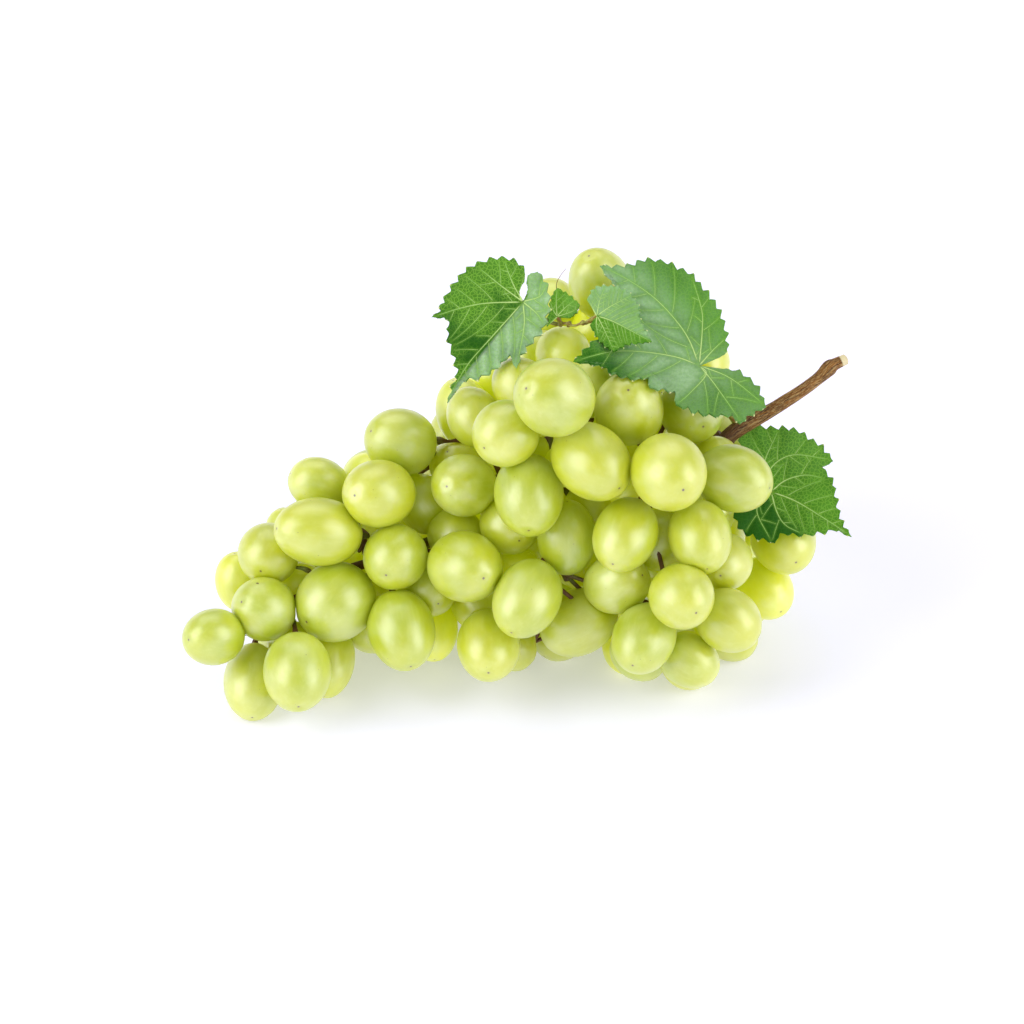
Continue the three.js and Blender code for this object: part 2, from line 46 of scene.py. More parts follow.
sight = {
    "rise": math.radians(30),  # the eye above the horizon
    "distance": 1100,
    "aim": 50,
    "fieldWidth": 307.2,  # what the frame takes in across, at the bunch
    "datum": (2.35, 13.14, 0),
}
riseSin, riseCos = math.sin(sight["rise"]), math.cos(sight["rise"])
toEye = np.array([0, -riseCos, riseSin])
eye = np.array([0, 0, sight["aim"]]) + toEye * sight["distance"]
datum = np.array(sight["datum"])

# across, up, width, length, lean, turn, behind
faceBerries = [
    (26.5, 68.5, 19, 25, 115, 45, 20), (12, 62, 16, 17, -60, 35, 35),
    (26, 54.5, 17, 18.5, -60, 35, 30), (15.5, 47.5, 16.5, 18, -60, 35, 0),
    (6.5, 47, 16.5, 18, -60, 35, 10), (57, 45, 16.5, 18, -60, 35, 15),
    (-4, 41, 17, 19, 180, 70, 20), (31.5, 41, 16.5, 18, -60, 35, 5),
    (23.5, 37.5, 17, 19, 90, 70, -10), (12.5, 34.5, 23.5, 28, 165, 40, -40),
    (35, 31, 21, 25.5, 95, 25, -20), (54, 30.5, 19.5, 21, -60, 35, -10),
    (-14, 29.5, 17.5, 23, 110, 70, 10), (-2, 23.5, 20, 21, -145, 50, -30),
    (-33.5, 21, 20.5, 23, 160, 55, 0), (24, 15, 22, 28.5, -45, 55, -30),
    (61, 14.5, 16, 17, -60, 35, -5), (-17, 14, 15.5, 16.5, 120, 35, 5),
    (47, 12, 22.5, 27.5, -55, 30, -40), (-43, 10, 15.5, 16.5, -60, 35, 20),
    (66.5, 10, 20, 24.5, -15, 65, -20), (-58, 8.5, 16, 19, 160, 75, 5),
    (-14.5, 8, 19, 24, -175, 25, -15), (-40, 5.5, 20.5, 24.5, -175, 35, -20),
    (5, 5, 21.5, 27, -90, 55, -20), (-26.5, 2.5, 16, 19.5, 120, 70, 5),
    (24, 1, 16.5, 18, -60, 35, -5), (-0.5, -4, 18, 19, -60, 35, -10),
    (-58, -6, 20.5, 27.5, 175, 65, -15), (34, -7, 19.5, 25.5, -115, 50, -35),
    (-17, -7, 16.5, 18, -60, 35, -5), (56.5, -7.5, 19, 24.5, -80, 55, -30),
    (16.5, -7.5, 18, 23.5, 90, 70, -15), (81.5, -8.5, 19.5, 23.5, -65, 40, 5),
    (44.5, -8.5, 17, 19, -90, 75, -20), (-73, -12.5, 18.5, 19.5, -110, 35, 0),
    (-35, -13.5, 19.5, 21, -115, 35, -15), (63.5, -15, 17, 21, -110, 25, -10),
    (-14, -16.5, 21.5, 26.5, -30, 30, -20), (-81.5, -21, 15, 19, 100, 70, 10),
    (31.5, -21.5, 18, 22.5, 20, 45, -15), (75.5, -23, 17, 21, -55, 55, 15),
    (-24.5, -23, 16.5, 18, -60, 35, -5), (51, -25.5, 19.5, 21.5, -50, 35, -30),
    (4.5, -26, 20, 26.5, -115, 60, -25), (-53, -27, 23.5, 25.5, -145, 55, -10),
    (-10, -27.5, 16.5, 18, -60, 35, 0), (-74.5, -29, 19, 20.5, 160, 40, -15),
    (65, -32.5, 19, 21, -35, 80, -10), (-41.5, -33, 18.5, 20, -90, 35, 5),
    (20, -33, 20.5, 25, 25, 70, -5), (-24, -34.5, 15.5, 21.5, -85, 70, 20),
    (-33, -35.5, 20, 26.5, -75, 60, -15), (-89.5, -37.5, 17, 20, -175, 45, -15),
    (39.5, -38, 19, 25, -115, 45, -20), (-7, -40, 19, 25, -90, 40, -10),
    (35, -40, 16, 18, -90, 70, 15), (53, -44.5, 17.5, 19, -60, 35, 5),
    (-54.5, -45, 15, 22.5, -100, 70, 5), (-64.5, -48, 20.5, 25.5, -85, 55, -20),
    (-77.5, -51, 18, 24.5, -90, 60, -10),
]
skyline = [
    (-96, -36), (-89, -26), (-79, -10), (-64, 9), (-34, 27), (-4, 49), (11, 59),
    (26, 65), (41, 62), (56, 52), (71, 22), (86, 1), (92, -5),
]
footline = [
    (-96, -41), (-89, -47), (-79, -61), (-64, -59), (-34, -49), (-4, -50),
    (41, -51), (56, -53), (71, -44), (86, -26), (92, -19),
]
rachis = [
    (63, 16, 68, 2.4), (52, 15, 58, 2.3), (30, 12, 49, 2.1), (5, 8, 44, 1.9), (-18, 4, 40, 1.7),
    (-38, -2, 35, 1.5), (-52, -5, 32, 1.3), (-64, -11, 27, 1.2), (-73, -16, 24, 1),
]
shoulder = [(20, 11, 47, 1.7), (11, 3, 66, 1.6), (12, 8, 78, 1.2)]
branches = {"from": 56, "to": -66, "every": 9, "turn": 137.5, "share": 0.5, "lean": -0.3,
            "radius": (1.2, 0.8)}
cane = [
    (64.8, 20, 2, 1.8), (66.5, 24.5, 4, 2.5), (70, 27.5, 5, 2.6), (76, 30.8, 6, 2.4),
    (83.4, 34.4, 7, 2.2), (89.4, 38, 8, 2), (93.5, 41.6, 9, 1.9), (95.4, 43.4, 9, 2.4),
    (97, 44.3, 9.5, 1.8), (100.5, 46, 10, 1.7),
]
shoot = [
    (68, 26, 4, 1.6), (61, 36, -1, 1.4), (55, 42, -4, 1.3), (50, 48, -4, 1.2), (42, 53, -4, 1.1),
    (34, 55, -8, 1), (26, 56.5, -11, 1), (19, 56.7, -9, 0.9), (13.8, 56.2, -7, 0.8),
]
packing = {
    "squat": 0.92, "squeeze": 0.8, "press": 0.6, "nearTable": 2.5, "stemRoom": 2.2, "woodRoom": 4.5,
    "steps": 200, "home": 0.01, "off": 0.17, "onto": 0.03, "reach": 12, "inLine": 0.92, "lift": 0.3,
}
thrown = {
    "wanted": 52, "tries": 9000, "from": -80, "to": 75, "turnFrom": -0.75, "turnTo": 0.5,
    "width": (15.5, 19.5), "slender": 1.17, "near": 30,
}


class Draws:
    # seeded numbers from 0 to 1, the same in every run
    def __init__(self, seed):
        self.seed = seed

    def __call__(self, low=0.0, high=1.0):
        self.seed = self.seed * 16807 % 2147483647
        return low + (high - low) * (self.seed / 2147483647)


def seen(across, up, behind):
    grow = 1 + np.asarray(behind, float) / sight["distance"]
    return np.stack([
        across * grow,
        up * grow * riseSin + behind * riseCos,
        sight["aim"] + up * grow * riseCos - behind * riseSin,
    ], axis=-1)


def asSeen(spot):  # the way back: across, up and behind of a place
    away = spot - np.array([0, 0, sight["aim"]])
    behind = -(away @ toEye)
    grow = 1 + behind / sight["distance"]
    return away[0] / grow, (away[1] * riseSin + away[2] * riseCos) / grow, behind


def unit(way):
    return way / np.linalg.norm(way)


def unitRows(ways):
    return ways / np.linalg.norm(ways, axis=1)[:, None]


def along(points, x, column=1):
    i = 0
    while i < len(points) - 2 and x > points[i + 1][0]:
        i += 1
    a, b = points[i], points[i + 1]
    t = min(max((x - a[0]) / (b[0] - a[0]), 0), 1)
    return a[column] + t * (b[column] - a[column])


def section(x):  # the bunch's cross-section: an ellipse that lies on the floor
    top, foot = along(skyline, x), along(footline, x)
    high = packing["squat"] * (top - foot) / 2
    deep = (top - foot) / 2 * math.sqrt(1 - (packing["squat"] * riseCos) ** 2) / riseSin
    y = ((top + foot) / 2 - (high - sight["aim"]) * riseCos) / riseSin
    return y, high, deep


def sideBranches():
    found = []
    count = round((branches["from"] - branches["to"]) / branches["every"])
    fromTail = rachis[::-1]
    for k in range(count + 1):
        x = branches["from"] - k * branches["every"]
        root = np.array([x, along(fromTail, x, 1), along(fromTail, x, 2)])
        turn = math.radians(k * branches["turn"])
        y, high, deep = section(x)
        cy, cz = math.cos(turn), math.sin(turn)
        a = (cy / deep) ** 2 + (cz / high) ** 2
        b = (root[1] - y) * cy / deep ** 2 + (root[2] - high) * cz / high ** 2
        c = ((root[1] - y) / deep) ** 2 + ((root[2] - high) / high) ** 2 - 1
        skin = (-b + math.sqrt(max(b * b - a * c, 0))) / a
        end = root + np.array([branches["lean"], cy, cz]) * skin * branches["share"]
        found.append([(*root, branches["radius"][0]), (*end, branches["radius"][1])])
    return found


def seenLimb(rows):
    return [(*seen(across, up, behind), radius) for across, up, behind, radius in rows]


stems = [rachis, shoulder, *sideBranches()]
woods = [seenLimb(cane), seenLimb(shoot)]


class Nearest:
    # the nearest place to a point on any of several limbs
    def __init__(self, limbs):
        pairs = [(a[:3], b[:3]) for limb in limbs for a, b in zip(limb, limb[1:])]
        self.start = np.array([a for a, b in pairs], float)
        self.way = np.array([b for a, b in pairs], float) - self.start
        self.square = (self.way ** 2).sum(1)

    def __call__(self, p):
        t = np.clip(((p - self.start) * self.way).sum(1) / self.square, 0, 1)
        places = self.start + self.way * t[:, None]
        gaps = np.linalg.norm(places - p, axis=1)
        best = gaps.argmin()
        return places[best], gaps[best]


onStems, onWoods = Nearest(stems), Nearest(woods)


def reachOf(tip, width, length, direction):
    lengthwise = (direction * tip).sum(-1) ** 2
    return 0.5 / np.sqrt((1 - lengthwise) / width ** 2 + lengthwise / length ** 2)


def meanReach(width, length):
    return (2 * width + length) / 6


upward = np.array([0.0, 0.0, 1.0])


def settledFace():
    face = []
    for across, up, width, length, leanDegrees, turnDegrees, behind in faceBerries:
        lean, turn = math.radians(leanDegrees), math.radians(turnDegrees)
        inView = np.array([math.cos(lean), math.sin(lean) * riseSin, math.sin(lean) * riseCos])
        tip = inView * math.sin(turn) + toEye * math.cos(turn)
        low = float(reachOf(tip, width, length, upward))
        face.append([across, up, meanReach(width, length), behind, behind, low, tip, width, length])
    far = sight["distance"]
    for _ in range(packing["steps"]):
        move = [(b[3] - b[4]) * packing["home"] for b in face]
        for i, p in enumerate(face):
            gp = 1 + p[4] / far
            for j in range(i + 1, len(face)):
                q = face[j]
                gq = 1 + q[4] / far
                apart = math.hypot(p[0] * gp - q[0] * gq, p[1] * gp - q[1] * gq)
                touch = p[2] * gp + q[2] * gq - packing["squeeze"]
                if apart >= touch:
                    continue
                side = 1 if q[3] > p[3] else -1
                short = math.sqrt(touch ** 2 - apart ** 2) - side * (q[4] - p[4])
                if short <= 0 and (short < -packing["reach"] or apart > touch * packing["inLine"]):
                    continue
                push = side * short * (packing["off"] if short > 0 else packing["onto"])
                move[i] -= push
                move[j] += push
        for b, m in zip(face, move):
            b[4] += m
            grow = 1 + b[4] / far
            sunk = b[5] * grow - packing["press"] - seen(b[0], b[1], b[4])[2]
            if sunk > 0:
                b[4] -= sunk / riseSin * packing["lift"]
    berries = []
    for across, up, reach, _, behind, _, tip, width, length in face:
        grow = 1 + behind / far
        berries.append({"at": seen(across, up, behind), "tip": tip, "width": width * grow,
                        "length": length * grow, "reach": reach * grow})
    return berries


class Crowd:
    # all the berries placed so far, as columns
    def __init__(self, berries):
        self.berries = list(berries)

    def hasRoom(self, b, squeeze):
        if onStems(b["at"])[1] < b["reach"] + packing["stemRoom"]:
            return False
        if onWoods(b["at"])[1] < b["reach"] + packing["woodRoom"]:
            return False
        at = np.array([o["at"] for o in self.berries])
        apart = b["at"] - at
        gap = np.linalg.norm(apart, axis=1)
        close = gap < thrown["near"]
        if not close.any():
            return True
        apart = apart[close] / gap[close, None]
        others = [o for o, isClose in zip(self.berries, close) if isClose]
        reach = reachOf(np.array([o["tip"] for o in others]), np.array([o["width"] for o in others]),
                        np.array([o["length"] for o in others]), apart)
        own = reachOf(b["tip"], b["width"], b["length"], apart)
        return not (reach + own - gap[close] > squeeze).any()


def newBerry(at, width):  # its tip points away from the nearest stem
    at = np.array(at)
    length = width * thrown["slender"]
    return {"at": at, "tip": unit(at - onStems(at)[0]), "width": width, "length": length,
            "reach": meanReach(width, length)}


def hiddenBerries(crowd):
    draw = Draws(2203)
    wanted = len(crowd.berries) + thrown["wanted"]
    for _ in range(thrown["tries"]):
        if len(crowd.berries) >= wanted:
            break
        x = draw(thrown["from"], thrown["to"])
        turn = math.pi * draw(thrown["turnFrom"], thrown["turnTo"])
        width = draw(*thrown["width"])
        reach = meanReach(width, width * thrown["slender"])
        y, high, deep = section(x)
        if high < reach:
            continue
        b = newBerry([x, y + (deep - reach) * math.cos(turn), high + (high - reach) * math.sin(turn)], width)
        low = b["at"][2] - reachOf(b["tip"], width, b["length"], upward)
        if low < packing["nearTable"]:
            b["at"][2] -= low + packing["press"]
        if crowd.hasRoom(b, packing["squeeze"]):
            crowd.berries.append(b)


# The berries deep inside the bunch, which show only in the gaps between the others.
inner = {
    "wanted": 90, "tries": 9000, "from": -76, "to": 74, "out": (0.15, 0.8), "width": (12, 17),
    "squeeze": 2.5, "offTable": 3, "overlap": 0.85, "deeper": 3,
    "gaps": [(-64.5, -22, 8, 14), (-41, -25.5, 6, 14)],  # across, up, behind and width
}


def isBehind(b, face):  # no berry of the near side lies behind it
    across, up, behind = asSeen(b["at"])
    for other in face:
        acrossIt, upIt, behindIt = other["seen"]
        close = inner["overlap"] * (b["reach"] + other["reach"])
        if math.hypot(across - acrossIt, up - upIt) < close and behind < behindIt + inner["deeper"]:
            return False
    return True


def innerBerries(crowd):
    draw = Draws(4711)
    first = len(crowd.berries)
    face = crowd.berries[:faceCount]
    for b in face:
        b["seen"] = asSeen(b["at"])
    for _ in range(inner["tries"]):
        if len(crowd.berries) >= first + inner["wanted"]:
            break
        x = draw(inner["from"], inner["to"])
        turn = 2 * math.pi * draw()
        out = draw(*inner["out"])
        width = draw(*inner["width"])
        y, high, deep = section(x)
        b = newBerry([x, y + deep * out * math.cos(turn), high + high * out * math.sin(turn)], width)
        isClear = b["at"][2] > b["reach"] + inner["offTable"]
        if isClear and isBehind(b, face) and crowd.hasRoom(b, inner["squeeze"]):
            crowd.berries.append(b)


crowd = Crowd(settledFace())
faceCount = len(crowd.berries)
hiddenBerries(crowd)
skinCount = len(crowd.berries)
crowd.berries += [newBerry(seen(*place), width) for *place, width in inner["gaps"]]
innerBerries(crowd)
berries = crowd.berries
print("berries placed:", faceCount, "near,", skinCount - faceCount, "far,", len(berries) - skinCount, "inner")


# Tools of the bench.

def deselectAll():
    if bpy.context.object and bpy.context.object.mode != "OBJECT":
        bpy.ops.object.mode_set(mode="OBJECT")
    bpy.ops.object.select_all(action="DESELECT")


def pick(*objects):
    deselectAll()
    for o in objects:
        o.select_set(True)
    bpy.context.view_layer.objects.active = objects[0]


def inEdit(o, action="SELECT"):
    pick(o)
    bpy.ops.object.mode_set(mode="EDIT")
    bpy.ops.mesh.select_all(action=action)


def outOfEdit():
    bpy.ops.object.mode_set(mode="OBJECT")


def selectVertices(o, chosen):  # these alone, and in edit mode
    inEdit(o, "DESELECT")
    outOfEdit()
    o.data.vertices.foreach_set("select", chosen)
    bpy.ops.object.mode_set(mode="EDIT")


def ball(segments, rings):
    deselectAll()
    bpy.ops.mesh.primitive_uv_sphere_add(segments=segments, ring_count=rings, radius=1)
    bpy.ops.object.shade_smooth()
    return bpy.context.object


def verticesOf(o):
    spots = np.empty(len(o.data.vertices) * 3, np.float32)
    o.data.vertices.foreach_get("co", spots)
    return spots.reshape(-1, 3).astype(float)


def layVertices(o, spots):  # at places in millimetres
    o.data.vertices.foreach_set("co", np.asarray(toRoom(spots), np.float32).ravel())
    o.data.update()


def keepOnPoints(o, name, values):
    values = np.asarray(values, np.float32)
    kind = "FLOAT" if values.ndim == 1 else "FLOAT_VECTOR"
    layer = o.data.attributes.new(name, kind, "POINT")
    layer.data.foreach_set("value" if values.ndim == 1 else "vector", values.ravel())


def toRoom(spots):  # from the setting-out frame in millimetres to the room in metres
    return (np.asarray(spots) - datum) * mm


def joined(name, pieces):
    pick(*pieces)
    if len(pieces) > 1:
        bpy.ops.object.join()
    whole = bpy.context.object
    whole.name = name
    whole.data.name = name
    return whole


def copyOf(template, spots):  # with a mesh of its own
    copy = template.copy()
    copy.data = template.data.copy()
    bpy.context.collection.objects.link(copy)
    layVertices(copy, spots)
    return copy


def finishPiece(o, material, node):
    if material:
        o.data.materials.clear()
        o.data.materials.append(material)
    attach(o, "root")
    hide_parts(node)


class Desk:
    # short words for building a material's nodes
    def __init__(self, name):
        self.material = bpy.data.materials.new(name)
        self.material.use_nodes = True
        self.tree = self.material.node_tree
        self.skin = self.tree.nodes["Principled BSDF"]
        self.material.cycles.emission_sampling = "NONE"  # the glow of a skin is no lamp

    def node(self, kind, links=None, **settings):
        made = self.tree.nodes.new(kind)
        for key, value in settings.items():
            setattr(made, key, value)
        for key, value in (links or {}).items():
            self.feed(made.inputs[key], value)
        return made

    def feed(self, socket, value):
        if isinstance(value, bpy.types.NodeSocket):
            self.tree.links.new(value, socket)
        elif isinstance(value, tuple) and len(value) == 3 and socket.type == "RGBA":
            socket.default_value = (*value, 1)
        else:
            socket.default_value = value

    def math(self, operation, a, b=0.0, c=0.0, clamp=False):
        return self.node("ShaderNodeMath", {0: a, 1: b, 2: c}, operation=operation,
                         use_clamp=clamp).outputs[0]

    def mix(self, share, a, b):
        made = self.node("ShaderNodeMix", data_type="RGBA")
        for socket, value in ((made.inputs[0], share), (made.inputs[6], a), (made.inputs[7], b)):
            self.feed(socket, value)
        return made.outputs[2]

    def between(self, value, low, high, toLow=0.0, toHigh=1.0):
        return self.node("ShaderNodeMapRange", {0: value, 1: low, 2: high, 3: toLow, 4: toHigh},
                         interpolation_type="SMOOTHSTEP").outputs[0]

    def attribute(self, name):
        return self.node("ShaderNodeAttribute", attribute_name=name).outputs["Vector"]

    def place(self):
        return self.node("ShaderNodeTexCoord").outputs["Object"]

    def spread(self, name):
        return self.node("ShaderNodeUVMap", uv_map=name).outputs[0]

    def cells(self, vector, scale):
        return self.node("ShaderNodeTexVoronoi", {"Vector": vector, "Scale": scale},
                         feature="DISTANCE_TO_EDGE", voronoi_dimensions="2D").outputs[0]

    def split(self, vector):
        return self.node("ShaderNodeSeparateXYZ", {0: vector}).outputs

    def cloud(self, vector, scale, detail=2.0, rough=0.5, output=0):
        return self.node("ShaderNodeTexNoise", {"Vector": vector, "Scale": scale, "Detail": detail,
                                                "Roughness": rough}).outputs[output]

    def shift(self, vector, by, scale=1.0):
        scaled = self.node("ShaderNodeVectorMath", {0: by, "Scale": scale}, operation="SCALE").outputs[0]
        return self.node("ShaderNodeVectorMath", {0: vector, 1: scaled}, operation="ADD").outputs[0]

    def stretch(self, vector, scale):
        return self.node("ShaderNodeMapping", {"Vector": vector, "Scale": scale}).outputs[0]

    def bump(self, height, strength, distance):
        return self.node("ShaderNodeBump", {"Height": height, "Strength": strength,
                                            "Distance": distance}).outputs[0]

    def wear(self, **sockets):
        for name, value in sockets.items():
            self.feed(self.skin.inputs[name.replace("_", " ")], value)
        return self.material


# The berries.

grape = {
    "rounds": {"near": (44, 30), "far": (32, 20), "inner": (18, 11)},  # segments and rings
    "scarPit": (0.035, 0.26), "stemDimple": (0.07, 0.4),  # depth and width, in half lengths
    "lumps": 0.011, "egg": 0.05, "oval": 0.02,  # how uneven, how full at the stem end, how oval
    "pressed": 0.12,  # how softly a flattened spot turns into the round
    "touch": 0.2, "gap": 0.08, "offTable": 0.12,  # how near flattens them, and what stays between
    "green": (0.33, 0.45, 0.003),
    "yellow": (0.56, 0.595, 0.003),
    "paintedLitGold": (0.84, 0.82, 0.002),
    "waxBloomAndPaintedSheen": (0.80, 0.85, 0.40),
    "scar": (0.10, 0.05, 0.015),
    "glow": (0.50, 0.58, 0.002), "paintedGlowPower": 0.07,  # painted glow: emission standing in for light that has come through its neighbours
    "scarSize": 0.034, "haloSize": 0.10, "speckShare": 0.07,
    "paintedSunny": 0.65, "paintedSunnyGlow": 0.40,  # painted light: how much painted yellow and painted glow the berries behind the near ones get, for light come through them
    "paintedSunnyFrom": 2, "paintedSunnyOver": 18,  # millimetres behind
    "paintedSunnyOf": {0: 0.10, 1: 0.35, 3: 0.55, 5: 0.35}, "paintedSunnyInside": (0.1, 0.5),
    "rough": 0.36, "powderRough": 0.3, "coat": 0.85, "coatRough": 0.39, "coatIor": 1.85,
    "lightDepth": 0.009, "halo": (0.42, 0.36, 0.06),
}


def grapeSkin():
    d = Desk("grapeSkin")
    own = d.attribute("own")
    mood = d.attribute("mood")
    moodX, moodY, paintedSunShare = d.split(mood)
    ownX, ownY, ownZ = d.split(own)
    place = d.shift(own, mood, 17.0)
    patches = d.cloud(place, 1.1, 2.0)
    ripe = d.math("MULTIPLY_ADD", moodX, 0.5, 0.05)
    ripe = d.math("MULTIPLY_ADD", patches, 0.8, ripe)
    ripe = d.math("MULTIPLY_ADD", ownZ, 0.12, ripe, clamp=True)
    colour = d.mix(ripe, grape["green"], grape["yellow"])
    # painted light: berries are painted a deeper yellow where light would come through them
    colour = d.mix(d.math("MULTIPLY", paintedSunShare, d.between(patches, 0.2, 0.7, 0.5, 1)), colour, grape["paintedLitGold"])
    streaks = d.cloud(d.stretch(place, (5, 5, 0.7)), 1.6, 3.0)
    colour = d.mix(d.between(streaks, 0.45, 0.75, 0, 0.10), colour, grape["waxBloomAndPaintedSheen"])
    # partly the waxy coat, partly a painted sheen: broad pale patches standing in for the soft reflections of
    # the lamps
    waxAndPaintedSheenPatches = d.cloud(place, 0.75, 1.0)
    colour = d.mix(d.between(waxAndPaintedSheenPatches, 0.45, 0.7, 0, 0.26), colour, grape["waxBloomAndPaintedSheen"])
    powder = d.cloud(place, 1.9, 7.0, 0.62)
    powder = d.math("MULTIPLY", d.between(powder, 0.35, 0.7, 0.0, 0.20), d.between(moodY, 0, 1, 0.5, 1))
    colour = d.mix(powder, colour, grape["waxBloomAndPaintedSheen"])
    specks = d.node("ShaderNodeTexVoronoi", {"Vector": place, "Scale": 7.0})
    cut = 1 - grape["speckShare"]
    chosen = d.between(d.split(specks.outputs["Color"])[0], cut, cut + 0.01)
    speck = d.math("MULTIPLY", d.between(specks.outputs["Distance"], 0.13, 0.06), chosen)
    colour = d.mix(d.math("MULTIPLY", speck, 0.6), colour, grape["scar"])
    round_ = d.math("SQRT", d.math("ADD", d.math("POWER", ownX, 2.0), d.math("POWER", ownY, 2.0)))
    tipSide = d.between(ownZ, 0.0, 0.1)
    size = grape["scarSize"]
    scar = d.math("MULTIPLY", d.between(round_, size * 1.3, size * 0.7), tipSide)
    halo = d.math("MULTIPLY", d.between(round_, grape["haloSize"], size, 0, 0.25), tipSide)
    colour = d.mix(halo, colour, grape["halo"])
    colour = d.mix(scar, colour, grape["scar"])
    fine = d.cloud(d.place(), 900.0, 3.0)
    return d.wear(
        Base_Color=colour, Roughness=d.math("MULTIPLY_ADD", powder, grape["powderRough"], grape["rough"]),
        Subsurface_Weight=1.0, Subsurface_Radius=(1.0, 0.9, 0.2), Subsurface_Scale=grape["lightDepth"],
        IOR=1.5, Specular_IOR_Level=1.0, Coat_Weight=grape["coat"], Coat_Roughness=grape["coatRough"],
        Coat_IOR=grape["coatIor"],
        # painted glow: the skin gives off light of its own, standing in for light come through the berries
        # around it
        Emission_Color=(*grape["glow"], 1),
        Emission_Strength=d.math("MULTIPLY_ADD", paintedSunShare, grape["paintedSunnyGlow"], grape["paintedGlowPower"]),
        Normal=d.bump(fine, 0.12, 0.0002))


def berryTemplate(name):  # a ball, pushed in at its tip and at its stem
    template = ball(*grape["rounds"][name])
    for end, (depth, wide) in ((1, grape["scarPit"]), (-1, grape["stemDimple"])):
        selectVertices(template, [v.co.z * end > 0.9999 for v in template.data.vertices])
        bpy.ops.transform.translate(
            value=(0, 0, -end * depth), use_proportional_edit=True, proportional_edit_falloff="SMOOTH",
            proportional_size=wide)
        outOfEdit()
    return template


def berryShape(b, own, draw):  # the berry's skin, in millimetres from its middle
    lumps = np.zeros(len(own))
    for _ in range(4):
        way = np.array([draw(-1, 1), draw(-1, 1), draw(-1, 1)]) * 2.6
        lumps += np.cos(own @ way + draw(0, 6.3))
    round_ = own * (1 + grape["lumps"] * lumps[:, None] / 2)
    fuller = 1 - grape["egg"] * draw(0.2, 1) * own[:, 2]
    side = unit(np.cross(b["tip"], (0.3, 0.9, 0.31)))
    other = np.cross(b["tip"], side)
    turn = draw(0, 6.3)
    c, s = math.cos(turn), math.sin(turn)
    side, other = side * c + other * s, other * c - side * s
    oval = 1 + draw(-grape["oval"], grape["oval"])
    spots = np.outer(round_[:, 0] * fuller * oval, side) + np.outer(round_[:, 1] * fuller / oval, other)
    return spots * b["width"] / 2 + np.outer(round_[:, 2], b["tip"]) * b["length"] / 2


def pressAgainst(spots, point, way):  # flattens what stands past a plane
    soft = grape["pressed"]
    past = ((spots - point) @ way) / soft
    back = np.logaddexp(0, past) * soft
    return spots - np.outer(back, way)


# painted light: how much painted yellow and painted glow each berry gets
def paintedSunOn(index, draw):
    if index >= skinCount:
        return draw(*grape["paintedSunnyInside"])
    if index >= faceCount:
        return 0.0
    share = (faceBerries[index][6] - grape["paintedSunnyFrom"]) / grape["paintedSunnyOver"]
    return grape["paintedSunnyOf"].get(index, min(max(share, 0), 1) * grape["paintedSunny"])


def makeBerries(kind, chosen, seed):
    template = berryTemplate(kind)
    own = verticesOf(template)
    draw = Draws(seed)
    pieces = []
    for index in chosen:
        b = berries[index]
        spots = berryShape(b, own, draw) + b["at"]
        for j, other in enumerate(berries):
            if j == index:
                continue
            way = other["at"] - b["at"]
            gap = float(np.linalg.norm(way))
            if gap > thrown["near"]:
                continue
            way = way / gap
            mine = reachOf(b["tip"], b["width"], b["length"], way)
            theirs = reachOf(other["tip"], other["width"], other["length"], way)
            if mine + theirs > gap - grape["touch"]:
                middle = mine - (mine + theirs - gap) / 2 - grape["gap"]
                spots = pressAgainst(spots, b["at"] + way * middle, way)
        spots = pressAgainst(spots, np.array([0, 0, grape["offTable"]]), -upward)
        copy = copyOf(template, spots)
        keepOnPoints(copy, "own", own)
        paintedSunny = paintedSunOn(index, draw)
        keepOnPoints(copy, "mood", np.tile([draw(), draw(), paintedSunny], (len(own), 1)))
        pieces.append(copy)
    whole = joined("berries_" + kind, pieces)
    bpy.data.objects.remove(template)
    finishPiece(whole, skinMaterial, "bunch")


skinMaterial = grapeSkin()
makeBerries("near", range(faceCount), 31)
makeBerries("far", range(faceCount, skinCount), 57)
makeBerries("inner", range(skinCount, len(berries)), 83)
print("berries modelled")


# Stems and wood.

def gridPiece(name, columns, rows):
    deselectAll()
    bpy.ops.mesh.primitive_grid_add(x_subdivisions=columns, y_subdivisions=rows, size=1)
    o = bpy.context.object
    o.name = name
    flat = verticesOf(o)
    return o, flat[:, 0] + 0.5, flat[:, 1] + 0.5


def smoothPath(rows, count):
    # a soft line through the rows, evenly stepped, with a radius at each step
    rows = np.array(rows, float)
    steps = np.r_[0, np.cumsum(np.linalg.norm(np.diff(rows[:, :3], axis=0), axis=1))]
    ends = np.vstack([2 * rows[0] - rows[1], rows, 2 * rows[-1] - rows[-2]])
    at = np.linspace(0, steps[-1], count)
    i = np.clip(np.searchsorted(steps, at, side="right") - 1, 0, len(rows) - 2)
    t = ((at - steps[i]) / (steps[i + 1] - steps[i]))[:, None]
    a, b, c, e = ends[i], ends[i + 1], ends[i + 2], ends[i + 3]
    line = 0.5 * (2 * b + (c - a) * t + (2 * a - 5 * b + 4 * c - e) * t ** 2
                  + (3 * b - a - 3 * c + e) * t ** 3)
    return line, at


def sideways(line):
    # two directions square to the line at each step, carried along without twisting
    way = unitRows(np.gradient(line, axis=0))
    side = np.cross(way[0], (0.31, -0.87, 0.38))
    sides = []
    for w in way:
        side = unit(side - w * (side @ w))
        sides.append(side)
    sides = np.array(sides)
    return sides, np.cross(way, sides)


limbShape = {
    "lumps": (2.2, 0.16), "finer": 2.7,  # how close together the lumps of a rough limb lie
    "endShare": 0.6, "sharp": 50,
}


